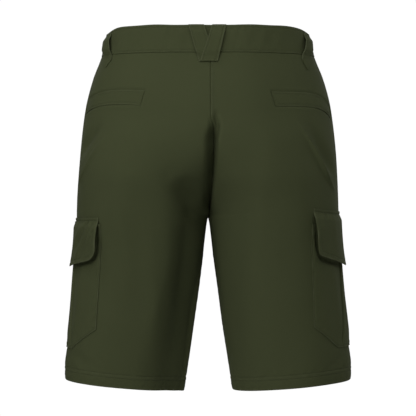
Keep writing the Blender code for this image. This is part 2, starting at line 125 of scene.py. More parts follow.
class Ripple:
    """An uneven wave along a line: a few sines of seeded lengths and starts."""

    def __init__(self, seed: int, shortest: float, longest: float, count: int = 5) -> None:
        """Draws the waves.

        Args:
            seed: Which ripple this is.
            shortest: The shortest wave.
            longest: The longest wave.
            count: How many waves are summed.
        """
        draw = np.random.default_rng(seed)
        self.lengths = draw.uniform(shortest, longest, count)
        self.starts = draw.uniform(0.0, math.tau, count)

    def at(self, along: Array) -> Array:
        """The ripple's height, mostly between -1 and 1.

        Args:
            along: Places along the line, in millimetres.

        Returns:
            A height for each place.
        """
        waves = [
            np.sin(math.tau * along / length + start)
            for length, start in zip(self.lengths, self.starts)
        ]
        return np.sum(waves, axis=0) / math.sqrt(len(waves))


class Swell:
    """Very soft unevenness in space, the same on every piece that lies there."""

    def __init__(self, seed: int, shortest: float, longest: float, count: int = 9) -> None:
        """Draws the waves.

        Args:
            seed: Which swell this is.
            shortest: The shortest wave.
            longest: The longest wave.
            count: How many waves are summed.
        """
        draw = np.random.default_rng(seed)
        ways = draw.normal(size=(count, 3)) * (1.0, 1.0, 0.55)
        ways /= np.linalg.norm(ways, axis=1)[:, None]
        self.ways = ways * math.tau / draw.uniform(shortest, longest, count)[:, None]
        self.starts = draw.uniform(0.0, math.tau, count)

    def at(self, points: Array) -> Array:
        """The swell's height at points in millimetres, mostly between -1 and 1."""
        turns = points @ self.ways.T + self.starts
        return np.sin(turns).sum(axis=-1) / math.sqrt(len(self.starts))


class Outline:
    """An open line on a piece's flat cut."""

    def __init__(self, points: Array) -> None:
        """Keeps the line's corners, an array of (a, b)."""
        self.points = np.asarray(points, float)

    def nearest(self, a: Array, b: Array) -> Places:
        """How places lie to the line.

        Args:
            a: Across the cut.
            b: Down the cut.

        Returns:
            The distance to the line; how squarely the place lies to one side of it, from -1 to 1
            and nothing beyond its ends; and how far along it the nearest point is, from 0 to 1.
        """
        best = np.full(np.shape(a), np.inf)
        sign = np.ones(np.shape(a))
        along = np.zeros(np.shape(a))
        runs = np.diff(self.points, axis=0)
        lengths = np.linalg.norm(runs, axis=1)
        total = lengths.sum()
        before = 0.0
        for (start_a, start_b), (run_a, run_b), length in zip(self.points, runs, lengths):
            off_a = a - start_a
            off_b = b - start_b
            part = np.clip((off_a * run_a + off_b * run_b) / length**2, 0.0, 1.0)
            distance = np.hypot(off_a - part * run_a, off_b - part * run_b)
            closer = distance < best
            best = np.where(closer, distance, best)
            square = (run_a * off_b - run_b * off_a) / (length * np.maximum(distance, 1e-6))
            sign = np.where(closer, np.clip(square, -1.0, 1.0), sign)
            along = np.where(closer, (before + part * length) / total, along)
            before += length
        return best, sign, along

    def inset(self, by: float) -> "Outline":
        """The same line moved sideways.

        Args:
            by: How far, to the line's left as it runs with b pointing down.

        Returns:
            The moved line.
        """
        runs = np.gradient(self.points, axis=0)
        runs /= np.linalg.norm(runs, axis=1)[:, None]
        return Outline(self.points + by * np.stack([runs[:, 1], -runs[:, 0]], axis=1))

    def stepped(self, step: float) -> Array:
        """Points along the line, evenly spaced at about the step.

        Args:
            step: The spacing asked for.

        Returns:
            The points, an array of (a, b).
        """
        lengths = np.linalg.norm(np.diff(self.points, axis=0), axis=1)
        along = np.concatenate([[0.0], np.cumsum(lengths)])
        stops = spread(0.0, along[-1], step)
        return np.stack([np.interp(stops, along, self.points[:, axis]) for axis in (0, 1)], axis=1)


def curved(points: tuple, per_span: int = 6) -> Array:
    """A smooth line through a few places.

    Args:
        points: The places, pairs of numbers.
        per_span: How many points each span gets.

    Returns:
        An array of pairs.
    """
    knots = np.asarray(points, float)
    if len(knots) < 3:
        return knots
    ends = [2 * knots[0] - knots[1], *knots, 2 * knots[-1] - knots[-2]]
    line = []
    for before, start, end, after in zip(ends, ends[1:], ends[2:], ends[3:]):
        for part in np.arange(per_span) / per_span:
            line.append(
                0.5
                * (
                    2 * start
                    + (end - before) * part
                    + (2 * before - 5 * start + 4 * end - after) * part**2
                    + (3 * start - before - 3 * end + after) * part**3
                )
            )
    return np.array([*line, knots[-1]])


# ---- the form under the cloth


@dataclass(frozen=True)
class Ring:
    """One oval of the wearer's left half, deepest at its middle."""

    height: float
    back_rise: float
    front_rise: float
    tilt: float
    outer: float
    middle: float
    inner: float
    back: float
    front: float
    back_cleft: float = 1.0
    front_cleft: float = 1.0
    square: float = 2.10
    seam_shift: float = 0.0


RINGS = (
    #                           x:                   depth:        cleft:
    #    height  rise: b, f   tilt   outer  middle inner back   front  back  front  square shift
    Ring(16.8,   2.2,  -6.8, 0.0,   148.5, 0.0,   0.0,  101.5, 100.0, 0.0,  0.0,   2.50, 4.0),  # waist
    Ring(-20.5,  -0.3, -5.5, 0.0,   159.2, 0.0,   0.0,  106.0, 104.0, 0.0,  0.0,   2.35, 4.0),  # band seam
    Ring(-54.0,  -0.5, -4.0, 0.0,   172.0, 0.0,   0.0,  116.0, 110.0, 0.0,  0.0,   2.25, 4.0),  # high hip
    Ring(-102.0, -1.0, -2.0, 0.0,   184.0, 0.0,   0.0,  128.0, 116.0, 0.0,  0.0,   2.20, 4.0),  # hip
    Ring(-150.0, -1.0, -1.0, 0.015, 190.2, 45.0,  0.0,  135.0, 118.0, 0.03, 0.005, 2.15, 4.0),  # seat
    Ring(-190.0, -1.0, -1.0, 0.045, 193.2, 78.0,  0.0,  132.0, 117.0, 0.22, 0.13,  2.15, 4.0),  # low seat
    Ring(-226.0, -0.5, -0.5, 0.070, 195.4, 94.0,  0.0,  122.5, 112.0, 0.61, 0.52,  2.12, 2.0),  # thigh
    Ring(-238.0, 0.0,  0.0,  0.080, 195.9, 97.0,  0.0,  119.6, 110.6, 0.77, 0.73,  2.10, 0.9),  # fork
    Ring(-245.0, 0.0,  0.0,  0.083, 196.1, 98.5,  0.0,  117.9, 109.8),  # crotch
    Ring(-252.0, 0.0,  0.0,  0.085, 196.3, 99.7,  1.2,  116.2, 109.0),  # gap
    Ring(-264.0, 0.0,  0.0,  0.085, 196.4, 100.7, 2.9,  113.5, 107.3),  # high leg
    Ring(-300.0, 0.0,  0.0,  0.085, 196.8, 102.2, 7.6,  106.0, 102.0),  # mid leg
    Ring(-366.0, 0.0,  0.0,  0.085, 201.0, 108.5, 16.0, 97.0,  94.0),  # low leg
    Ring(-438.0, 0.0,  0.0,  0.086, 208.6, 117.5, 26.4, 90.0,  87.0),  # knee
    Ring(-481.0, 0.0,  0.0,  0.087, 214.4, 123.9, 33.4, 86.0,  84.0),  # hem top
    Ring(-501.5, 0.0,  0.0,  0.087, 213.9, 125.2, 36.6, 84.0,  82.0),  # hem
)


class BodyForm:
    """The smooth form: the ovals of one half, tabled by height and by share of the reach."""

    top = 26.0
    bottom = -508.0
    step = 0.5
    shares = 241
    turns = 321
    fork = -245.0
    held_width = 9.0
    held_span = 4.0
    probe = 0.6

    def __init__(self) -> None:
        """Works out the tables of both faces."""
        self.heights = np.arange(self.top, self.bottom - self.step, -self.step)
        self.places = np.array([-ring.height for ring in RINGS])
        front, back = self._face("front"), self._face("back")
        self.table = np.stack([front[0], back[0]])
        self.limits = np.stack([front[1], back[1]])

    def column(self, name: str, height: Array) -> Array:
        """One column of the ring table at any height, on a curve that never swings past a ring.

        Args:
            name: The column.
            height: Heights on the side line.

        Returns:
            The column's values.
        """
        values = np.array([getattr(ring, name) for ring in RINGS])
        gaps = np.diff(self.places)
        rises = np.diff(values) / gaps
        slopes = np.concatenate([[rises[0]], np.zeros(len(rises) - 1), [rises[-1]]])
        for index, (before, after) in enumerate(zip(rises, rises[1:])):
            if before * after > 0:
                near = 2 * gaps[index + 1] + gaps[index]
                far = gaps[index + 1] + 2 * gaps[index]
                slopes[index + 1] = (near + far) / (near / before + far / after)
        asked = -np.asarray(height, float)
        place = np.clip(asked, self.places[0], self.places[-1])
        index = np.clip(np.searchsorted(self.places, place, side="right") - 1, 0, len(gaps) - 1)
        gap = gaps[index]
        part = (place - self.places[index]) / gap
        value = (
            (1 + 2 * part) * (1 - part) ** 2 * values[index]
            + part * (1 - part) ** 2 * gap * slopes[index]
            + part**2 * (3 - 2 * part) * values[index + 1]
            + part**2 * (part - 1) * gap * slopes[index + 1]
        )
        return value + (asked - place) * np.where(asked > place, slopes[-1], slopes[0])

    def _face(self, face: str) -> tuple[Array, Array]:
        """The points and the whole reach of one face at every tabled height.

        Args:
            face: Either back or front.

        Returns:
            Both arrays, with a row for each height.
        """
        height = self.heights[:, None]
        outer, middle, inner, square = (
            self.column(name, height) for name in ("outer", "middle", "inner", "square")
        )
        lost = np.clip(self.column(face + "_cleft", height), 0.0, 1.0)
        # the inner half-oval would end beyond the centre plane, where the other leg cuts it off
        cut = (1 - (1 - lost) ** square) ** (1 / square)
        power = 2 / square
        last = math.pi / 2 + np.arcsin(np.clip(cut, 0.0, 1.0) ** (1 / power))
        turn = np.linspace(0.0, 1.0, self.turns)[None, :] * last
        cosine, sine = np.cos(turn), np.sin(turn)
        halves = np.where(cosine > 0, outer - middle, -(middle - inner) / np.maximum(cut, 1e-6))
        x = middle + halves * np.abs(cosine) ** power
        y = self.column(face, height) * sine**power * (1 if face == "back" else -1)
        rise = sine**2 * self.column(face + "_rise", height)
        z = height + rise + self.column("tilt", height) * (x - outer)
        points = np.stack([x, y, z], axis=2)
        steps = np.linalg.norm(np.diff(points, axis=1), axis=2)
        reaches = np.concatenate([np.zeros_like(height), np.cumsum(steps, axis=1)], axis=1)
        even = np.linspace(0.0, 1.0, self.shares)
        table = np.empty((len(self.heights), self.shares, 3))
        for row, (places, reach) in enumerate(zip(points, reaches)):
            for axis in range(3):
                table[row, :, axis] = np.interp(even * reach[-1], reach, places[:, axis])
        return table, reaches[:, -1]

    def limit(self, height: Array | float, back: Array | bool) -> Array:
        """The reach of the centre seam or inseam.

        Args:
            height: Heights on the side line.
            back: True where the back is meant.

        Returns:
            The whole reach there.
        """
        row = (self.top - np.asarray(height, float)) / self.step
        rows = np.arange(len(self.heights))
        front_reach, back_reach = (np.interp(row, rows, limits) for limits in self.limits)
        return np.where(back, back_reach, front_reach)

    def sample(self, height: Array, reach: Array) -> Array:
        """Points of the smooth form; a reach past the centre goes on along the other half.

        Args:
            height: Heights on the side line.
            reach: Reaches from the side line.

        Returns:
            Points in millimetres, x, y and z last.
        """
        height, reach = np.broadcast_arrays(np.asarray(height, float), np.asarray(reach, float))
        back = reach >= 0
        limit = self.limit(height, back)
        distance = np.abs(reach)
        over = distance > limit
        distance = np.where(over, 2 * limit - distance, distance)
        row = np.clip((self.top - height) / self.step, 0.0, len(self.heights) - 1.001)
        column = np.clip(distance / limit, 0.0, 1.0) * (self.shares - 1.001)
        low, left = row.astype(int), column.astype(int)
        down, across = (row - low)[..., None], (column - left)[..., None]
        face = back.astype(int)
        upper = self.table[face, low, left] * (1 - across) + self.table[face, low, left + 1] * across
        lower = (
            self.table[face, low + 1, left] * (1 - across)
            + self.table[face, low + 1, left + 1] * across
        )
        point = upper * (1 - down) + lower * down
        point[..., 0] = np.where(over, -point[..., 0], point[..., 0])
        return point

    def outward(self, height: Array, reach: Array) -> Array:
        """The form's unit normals, taken on one side of a centre seam only.

        Args:
            height: Heights on the side line.
            reach: Reaches from the side line.

        Returns:
            Unit vectors pointing away from the wearer.
        """
        height, reach = np.broadcast_arrays(np.asarray(height, float), np.asarray(reach, float))
        back = reach >= 0
        limit = self.limit(height, back)
        inside = np.abs(reach) <= limit
        near, far = reach - self.probe, reach + self.probe
        low = np.where(inside, np.maximum(near, -limit), near)
        high = np.where(inside, np.minimum(far, limit), far)
        along = self.sample(height, high) - self.sample(height, low)
        share = reach / limit
        over, under = height + self.probe, height - self.probe
        above = self.sample(over, share * self.limit(over, back))
        below = self.sample(under, share * self.limit(under, back))
        normal = np.cross(along, above - below)
        normal /= np.maximum(np.linalg.norm(normal, axis=-1), 1e-9)[..., None]
        # both sides of a centre seam move together, so there the sideways part fades out
        held = 1 - smooth(np.abs(limit - np.abs(reach)), 0.0, self.held_width)
        held = held * smooth(height, self.fork - self.held_span, self.fork + self.held_span)
        normal[..., 0] *= 1 - held
        return normal / np.maximum(np.linalg.norm(normal, axis=-1), 0.35)[..., None]


# ---- folds


LEFT, RIGHT = 1, -1


@dataclass(frozen=True)
class Fold:
    """A soft trough, or a ridge where its depth is negative, along a line of places."""

    path: tuple[tuple[float, float], ...]  # (height, reach)
    depth: float
    half_width: float
    lean: float = 0.0  # how much wider one flank is than the other, from -1 to 1
    start: float = 0.0  # the share of its depth that it starts with
    end: float = 0.0

    def depth_at(self, height: Array, reach: Array) -> Array:
        """How far the fold draws the cloth in.

        Args:
            height: Heights of the places.
            reach: Reaches of the places.

        Returns:
            Depths in millimetres.
        """
        line = Outline(curved(self.path))
        widest = 3 * self.half_width * (1 + abs(self.lean))
        low, high = line.points.min(axis=0) - widest, line.points.max(axis=0) + widest
        near = (height > low[0]) & (height < high[0]) & (reach > low[1]) & (reach < high[1])
        depth = np.zeros_like(height)
        if near.any():
            distance, sign, along = line.nearest(height[near], reach[near])
            width = self.half_width * (1 + self.lean * sign)
            taper = self.start + (1 - self.start) * smooth(along, 0.0, 0.42)
            taper *= self.end + (1 - self.end) * (1 - smooth(along, 0.58, 1.0))
            depth[near] = self.depth * taper * np.exp(-((distance / width) ** 2))
        return depth


# each fold's places, depth and half width, and what differs from the usual
FOLDS: dict[int, tuple[Fold, ...]] = {
    LEFT: (
        # the hip's bright ridge and the hollow inside it, from the side seam up towards the seat
        Fold(
            ((-128, 112), (-142, 106), (-156, 97), (-170, 86), (-186, 72), (-203, 50), (-216, 20)),
            -3.8, 3.4, lean=0.1,
        ),
        Fold(((-118, 95), (-132, 80), (-146, 66), (-158, 51), (-170, 31)), 5.0, 10.0),
        # the break under the seat, and the cloth drawn in to the fork above it
        Fold(
            ((-197, 221), (-210, 230), (-221, 242), (-231, 257), (-240, 274), (-248, 294)),
            8.0, 17.0, lean=-0.1, start=0.2, end=0.6,
        ),
        Fold(((-196, 222), (-202, 242), (-212, 264), (-226, 288)), 4.6, 16.0, start=0.3, end=0.4),
        # hollows down the inner thigh, and the edge that they leave
        Fold(
            ((-220, 254), (-264, 257), (-300, 253), (-345, 246), (-390, 240)),
            11.2, 33.0, lean=-0.14, start=0.2, end=0.1,
        ),
        Fold(
            ((-300, 262), (-352, 253), (-397, 243), (-442, 233), (-490, 226)),
            15.0, 44.0, lean=-0.1, start=0.1, end=0.9,
        ),
        Fold(
            (
                (-188, 208), (-224, 210), (-264, 210), (-295, 205),
                (-352, 194), (-397, 178), (-442, 168), (-486, 162),
            ),
            -1.2, 12.0, start=0.2, end=0.5,
        ),
        # long soft folds down the back of the leg
        Fold(((-70, 150), (-160, 142), (-250, 138), (-340, 132)), -1.3, 15.0),
        Fold(((-150, 178), (-230, 172), (-330, 158), (-430, 150)), 1.3, 13.0),
        Fold(((-250, 186), (-330, 182), (-420, 184), (-480, 180)), -1.4, 12.0),
        # the front: a break from the hip to the fork, a whisker and a ridge
        Fold(((-128, -84), (-158, -128), (-186, -172), (-214, -216)), 3.4, 10.0, lean=0.2),
        Fold(((-176, -128), (-204, -176), (-230, -222)), 2.6, 8.0, lean=-0.2),
        Fold(((-142, -112), (-176, -152), (-206, -200)), -2.0, 9.0),
        # long folds down the thigh, and the hollow at its inner side
        Fold(((-236, -196), (-300, -178), (-390, -166), (-470, -160)), 2.2, 16.0),
        Fold(((-250, -154), (-330, -140), (-420, -134)), -1.8, 15.0),
        Fold(((-236, -248), (-320, -238), (-420, -224)), 2.4, 18.0, start=0.3, end=0.2),
        # low on the leg, where the cargo pocket pulls the cloth
        Fold(((-452, 40), (-468, 76), (-478, 112)), 1.6, 9.0),
        Fold(((-300, -112), (-330, -128), (-372, -134)), 1.8, 10.0),
    ),
    RIGHT: (
        # the hip's bright ridge and the hollow inside it, from the side seam up towards the seat
        Fold(
            ((-112, 126), (-132, 118), (-154, 109), (-175, 98), (-196, 86), (-211, 69), (-224, 41)),
            -5.8, 3.0, lean=-0.1,
        ),
        Fold(((-108, 111), (-126, 103), (-147, 92), (-168, 80), (-188, 62), (-204, 40)), 6.8, 11.5),
        # the hollow down the inner thigh
        Fold(((-214, 250), (-290, 246), (-380, 236), (-470, 222)), 1.6, 22.0, start=0.2, end=0.6),
        # a short spur beside the cleft
        Fold(((-109, 240), (-117, 245), (-127, 251), (-138, 257)), 6.5, 3.8, start=0.3, end=0.6),
        # long soft folds down the back of the leg
        Fold(((-60, 158), (-140, 178), (-220, 194), (-330, 188), (-430, 180)), -1.6, 16.0),
        Fold(((-160, 222), (-240, 226), (-330, 222), (-400, 214)), 1.2, 14.0),
        Fold(((-130, 150), (-210, 150), (-300, 146), (-400, 142)), 1.1, 16.0),
        # the front: a break from the hip to the fork, a whisker and a ridge
        Fold(((-140, -92), (-166, -136), (-190, -178), (-216, -222)), 3.6, 11.0, lean=0.1),
        Fold(((-190, -118), (-214, -166), (-236, -206)), 2.2, 8.0),
        Fold(((-158, -100), (-188, -150), (-214, -196)), -1.8, 9.0),
        # long folds down the thigh, and the hollow at its inner side
        Fold(((-244, -190), (-310, -184), (-400, -172), (-480, -160)), 2.0, 17.0),
        Fold(((-230, -150), (-320, -148), (-430, -138)), -1.6, 15.0),
        Fold(((-232, -250), (-330, -236), (-440, -220)), 2.6, 18.0, start=0.3, end=0.2),
        # low on the leg, where the cargo pocket pulls the cloth
        Fold(((-456, 30), (-470, 66), (-482, 96)), 1.5, 9.0),
        Fold(((-290, -104), (-326, -122), (-366, -132)), 1.6, 10.0),
    ),
}

# under the free edges of the cargo flaps, which don't follow these
FLAP_GAPS: dict[int, tuple[Fold, ...]] = {
    LEFT: (
        Fold(
            (
                (-264, 100), (-281, 97), (-295, 94), (-307, 90),
                (-317, 83), (-323, 70), (-327, 48), (-329, 20),
            ),
            6.5, 3.5, start=0.2, end=0.2,
        ),
    ),
    RIGHT: (
        Fold(
            ((-262, 108), (-282, 102), (-303, 95), (-315, 89), (-320, 78), (-325, 61), (-329, 36)),
            6.0, 3.4, start=0.2, end=0.2,
        ),
    ),
}


@dataclass
class Garment:
    """The filled-out cloth surface: the form, its folds, the cleft and a soft unevenness.

    A span is a pair of depths below the side line's zero, between which something changes.
    """

    form: BodyForm = field(default_factory=BodyForm)
    band_seam: float = -20.5
    waist_edge: float = 16.8
    crotch: float = -245.0
    hem_edge: float = -501.5
    band_hold: float = 30.0  # how far below the band seam the folds have their full depth
    seam_hold: float = 13.0  # how far from a centre seam they have it
    cleft_top: float = -113.0
    cleft_start: float = 34.0
    cleft_end: float = 26.0
    cleft_depth: float = 23.0
    cleft_left: tuple[float, float, float] = (3.6, 9.6, 13.0)  # half widths: top, middle and foot
    cleft_left_spans: tuple[Span, Span] = ((112.0, 146.0), (165.0, 222.0))
    cleft_right: tuple[float, float] = (7.6, 5.4)  # half widths: top and below
    cleft_right_span: Span = (124.0, 150.0)
    cleft_lip: float = 0.62  # the steep lips' share of its depth; the crease has the rest
    drift: float = 4.6  # how far the cleft strays to the wearer's right
    drift_spans: tuple[Span, Span, Span] = ((112.0, 130.0), (150.0, 220.0), (236.0, 246.0))
    drift_width: float = 30.0
    crotch_spread: float = 3.8
    crotch_fade: float = 60.0
    crotch_reach: float = 8.0
    crotch_notch: float = 2.2
    notch_fade: Span = (2.0, 16.0)  # below the crotch
    hem_drop: float = 3.0  # of the left inner hem
    hem_drop_span: Span = (452.0, 501.0)
    swell: Swell = field(default_factory=lambda: Swell(11, 60.0, 150.0))
    swell_height: float = 0.55

    def drawn_in(self, side: int, height: Array, reach: Array) -> Array:
        """How far folds draw the cloth in.

        Args:
            side: Which half, LEFT or RIGHT.
            height: Heights of the places.
            reach: Reaches of the places, which may pass the centre.

        Returns:
            Depths in millimetres.
        """
        limit = self.form.limit(height, reach >= 0)
        over = np.abs(reach) > limit
        reach = np.where(over, np.copysign(2 * limit - np.abs(reach), reach), reach)
        here = np.where(over, -side, side)
        depth = np.zeros_like(height)
        for half in (LEFT, RIGHT):
            for fold in FOLDS[half] + FLAP_GAPS[half]:
                depth += np.where(here == half, fold.depth_at(height, reach), 0.0)
        # the waistband and the centre seams hold the cloth flat
        depth *= smooth(limit - np.abs(reach), 0.0, self.seam_hold)
        return depth * smooth(self.band_seam - height, 0.0, self.band_hold)

    def cleft(self, side: int, height: Array, reach: Array) -> Array:
        """How far the centre-back seam draws the seat in, straight towards the front.

        Args:
            side: Which half, LEFT or RIGHT.
            height: Heights of the places.
            reach: Reaches of the places.

        Returns:
            Depths in millimetres.
        """
        away = (self.form.limit(height, True) - reach) * side + self.form.column("seam_shift", height)
        fade = smooth(-height, -self.cleft_top, -self.cleft_top + self.cleft_start)
        fade = fade * smooth(height, self.crotch, self.crotch + self.cleft_end)
        narrow, middle, wide = self.cleft_left
        left = narrow + (middle - narrow) * smooth(-height, *self.cleft_left_spans[0])
        left = left + (wide - middle) * smooth(-height, *self.cleft_left_spans[1])
        broad, usual = self.cleft_right
        right = broad + (usual - broad) * smooth(-height, *self.cleft_right_span)
        # steep at its lips and creased at its bottom
        share = np.abs(away / np.where(away > 0, left, right))
        crease = (1 - self.cleft_lip) * np.exp(-2.4 * share)
        shape = self.cleft_lip * np.exp(-(share**3)) + crease
        return np.where(reach > 0, self.cleft_depth * fade * shape, 0.0)

    def place(self, side: int, height: Array, reach: Array, out: Array) -> Array:
        """Points of the cloth.

        Args:
            side: Which half, LEFT or RIGHT.
            height: Heights of the places.
            reach: Reaches of the places.
            out: How far each point stands off the panels' outer face.

        Returns:
            Points in metres.
        """
        height, reach, out = np.broadcast_arrays(
            np.asarray(height, float), np.asarray(reach, float), np.asarray(out, float)
        )
        point = self.form.sample(height, reach)
        normal = self.form.outward(height, reach)
        mirrored = point * (side, 1, 1)
        lift = out - self.drawn_in(side, height, reach) + self.swell_height * self.swell.at(mirrored)
        point = point + normal * lift[..., None]
        point[..., 1] -= self.cleft(side, height, reach)
        # the two legs part at once below the crotch
        below = self.crotch - height
        from_seam = self.form.limit(height, reach >= 0) - np.abs(reach)
        parted = smooth(below, -0.1, 1.2) * (1 - smooth(below, 0.0, self.crotch_fade))
        apart = self.crotch_spread + self.crotch_notch * (1 - smooth(below, *self.notch_fade))
        point[..., 0] += apart * parted * np.exp(-((from_seam / self.crotch_reach) ** 2))
        point[..., 0] *= side
        if side == LEFT:
            drop = self.hem_drop * smooth(-height, *self.hem_drop_span)
            point[..., 2] -= drop * bump(from_seam, 8.0, 62.0)
        # the cleft strays from the centre plane between the two middle spans
        begin, ease, stop = (smooth(-height, *span) for span in self.drift_spans)
        strayed = begin * (1 - 0.5 * ease) * (1 - stop)
        point[..., 0] -= self.drift * strayed * bump(point[..., 0], 0.0, self.drift_width) * (reach > 0)
        return point * MM

    def facing(self, side: int, height: Array, reach: Array) -> Array:
        """The form's outward unit vectors on one half of the garment."""
        return self.form.outward(height, reach) * (side, 1, 1)


# ---- shader maths


def operator(operation: str, reflected: bool = False) -> Callable[["Signal", object], "Signal"]:
    """An arithmetic operator for Signal.

    Args:
        operation: The Math node's operation.
        reflected: True where the signal is the second operand.

    Returns:
        The operator's method.
    """

    def apply(signal: "Signal", other: object) -> "Signal":
        """Adds the Math node."""
        return signal.math(operation, *((other, signal) if reflected else (signal, other)))

    return apply


class Signal:
    """A value in a material's node tree that takes part in Python expressions."""

    __add__, __radd__ = operator("ADD"), operator("ADD", True)
    __sub__, __rsub__ = operator("SUBTRACT"), operator("SUBTRACT", True)
    __mul__, __rmul__ = operator("MULTIPLY"), operator("MULTIPLY", True)

    def __init__(self, shop: "NodeShop", socket: bpy.types.NodeSocket) -> None:
        """Keeps the maker of the nodes and the output that carries the value."""
        self.shop = shop
        self.socket = socket

    def math(self, operation: str, first: object, second: object = 0.0) -> "Signal":
        """One Math node."""
        return self.shop.node("ShaderNodeMath", {"operation": operation}, [first, second])

    def sine(self) -> "Signal":
        """Its sine."""
        return self.math("SINE", self)

    def size(self) -> "Signal":
        """Its absolute value."""
        return self.math("ABSOLUTE", self)


class NodeShop:
    """Makes the nodes of one material."""

    def __init__(self, name: str) -> None:
        """Starts a material with its Principled shader.

        Args:
            name: The material's name.
        """
        self.material = bpy.data.materials.new(name)
        self.material.use_nodes = True
        self.tree = self.material.node_tree
        self.shader = self.tree.nodes["Principled BSDF"]

    def node(self, kind: str, settings: dict, values: list | dict, output: int | str = 0) -> Signal:
        """One node of any kind.

        Args:
            kind: The node's type.
            settings: Its own settings, set first.
            values: Values or signals for its inputs, by order or by name.
            output: Which output to hand on.

        Returns:
            The output as a signal.
        """
        node = self.tree.nodes.new(kind)
        for key, value in settings.items():
            setattr(node, key, value)
        pairs = values.items() if isinstance(values, dict) else enumerate(values)
        for key, value in pairs:
            self.feed(node.inputs[key], value)
        return Signal(self, node.outputs[output])

    def feed(self, socket: bpy.types.NodeSocket, value: object) -> None:
        """Sets an input to a value or links a signal to it.

        Args:
            socket: The input.
            value: The value or the signal.
        """
        if isinstance(value, Signal):
            self.tree.links.new(value.socket, socket)
        else:
            socket.default_value = value

    def mix_colour(self, share: object, first: object, second: object) -> Signal:
        """A colour between two others."""
        return self.node("ShaderNodeMix", {"data_type": "RGBA"}, {0: share, 6: first, 7: second}, 2)

    def noise(self, where: Signal, scale: float, detail: float = 3.0) -> Signal:
        """A noise from 0 to 1 at a scale per metre."""
        values = {"Vector": where, "Scale": scale, "Detail": detail, "Roughness": 0.55}
        return self.node("ShaderNodeTexNoise", {}, values)

    def relief(self, height: Signal, distance: float, strength: float) -> Signal:
        """Normals for a height from 0 to 1 that stands for a distance in metres."""
        values = {"Height": height, "Distance": distance, "Strength": strength}
        return self.node("ShaderNodeBump", {}, values)

    def places(self) -> Signal:
        """The object's own coordinates in metres."""
        return self.node("ShaderNodeTexCoord", {}, [], "Object")

    def finish(self, values: dict) -> bpy.types.Material:
        """Feeds the shader's inputs and hands over the material.

        Args:
            values: A value or a signal for each input's name.

        Returns:
            The finished material.
        """
        for key, value in values.items():
            self.feed(self.shader.inputs[key], value)
        return self.material


Colour = tuple[float, float, float, float]


@dataclass(frozen=True)
class TwillFinish:
    """Fine matte twill: dyed colour, diagonal wales, a soft sheen and rubbed edges."""

    name: str
    colour: Colour = (0.050, 0.0575, 0.0265, 1.0)
    deep: Colour = (0.042, 0.0490, 0.0222, 1.0)
    rubbed: Colour = (0.074, 0.082, 0.045, 1.0)
    wale: float = 0.00078
    yarn: float = 0.00042
    relief: float = 0.00009

    def material(self) -> bpy.types.Material:
        """Builds the material.

        Returns:
            The finished material.
        """
        shop = NodeShop(self.name)
        cut = shop.node("ShaderNodeUVMap", {"uv_map": "cut"}, [])
        across = shop.node("ShaderNodeSeparateXYZ", {}, [cut])
        down = Signal(shop, across.socket.node.outputs[1])
        where = shop.places()
        dye = shop.noise(where, 9.0, 4.0)
        mottle = shop.noise(where, 160.0, 3.0)
        fuzz = shop.noise(where, 2600.0, 2.0)
        # the wales climb to the right, each made of short yarn floats
        wave = ((across + down * 0.82) * (math.tau / self.wale)).sine()
        floats = ((across * 0.55 - down) * (math.tau / self.yarn)).sine()
        weave = wave.size() * 0.7 + floats * 0.22 + fuzz * 0.5
        rub = shop.node("ShaderNodeAttribute", {"attribute_name": "rub"}, [], "Fac")
        shade = dye * 0.55 + mottle * 0.3 + weave * 0.10
        base = shop.mix_colour(shade, self.colour, self.deep)
        worn = rub * (0.55 + mottle * 0.5)
        base = shop.mix_colour(worn, base, self.rubbed)
        return shop.finish(
            {
                "Normal": shop.relief(weave * 0.8 + mottle * 1.6, self.relief, 0.55),
                "Base Color": base,
                "Roughness": 0.90 + dye * 0.08 - worn * 0.10,
                "Specular IOR Level": 0.06,
            }
        )


@dataclass(frozen=True)
class ThreadFinish:
    """Matte sewing thread, dyed to match the cloth and finely twisted."""

    name: str = "tonal_thread"
    colour: Colour = (0.046, 0.053, 0.025, 1.0)
    deep: Colour = (0.034, 0.040, 0.019, 1.0)

    def material(self) -> bpy.types.Material:
        """Builds the material.

        Returns:
            The finished material.
        """
        shop = NodeShop(self.name)
        twist = shop.noise(shop.places(), 1900.0, 2.0)
        return shop.finish(
            {
                "Base Color": shop.mix_colour(twist, self.colour, self.deep),
                "Roughness": 0.75 + twist * 0.1,
                "Normal": shop.relief(twist, 0.00012, 0.6),
                "Specular IOR Level": 0.12,
            }
        )


@dataclass(frozen=True)
class ButtonFinish:
    """Satin polyester with a faint cloudy grain and fine handling marks."""

    name: str = "button_polyester"
    colour: Colour = (0.036, 0.040, 0.022, 1.0)
    cloud: Colour = (0.056, 0.060, 0.036, 1.0)

    def material(self) -> bpy.types.Material:
        """Builds the material.

        Returns:
            The finished material.
        """
        shop = NodeShop(self.name)
        where = shop.places()
        cloud = shop.noise(where, 210.0, 4.0)
        marks = shop.noise(where, 1500.0, 3.0)
        return shop.finish(
            {
                "Base Color": shop.mix_colour(cloud, self.colour, self.cloud),
                "Roughness": 0.30 + marks * 0.14,
                "Normal": shop.relief(marks, 0.00003, 0.4),
                "Specular IOR Level": 0.5,
            }
        )


class Finishes:
    """The garment's materials, made once."""

    def __init__(self) -> None:
        """Builds every material."""
        self.shell = TwillFinish("olive_twill").material()
        self.inside = TwillFinish(
            "olive_twill_inside",
            colour=(0.044, 0.051, 0.024, 1.0),
            deep=(0.036, 0.042, 0.020, 1.0),
            rubbed=(0.060, 0.067, 0.036, 1.0),
        ).material()
        self.thread = ThreadFinish().material()
        self.button = ButtonFinish().material()


class Slot(Enum):
    """The record's material slots."""

    SHELL = "shell_cloth"
    INSIDE = "inside_cloth"
    BUTTON = "button_plastic"


# ---- meshes


def deselect_all() -> None:
    """Leaves nothing selected."""
    for thing in bpy.context.selected_objects:
        thing.select_set(False)


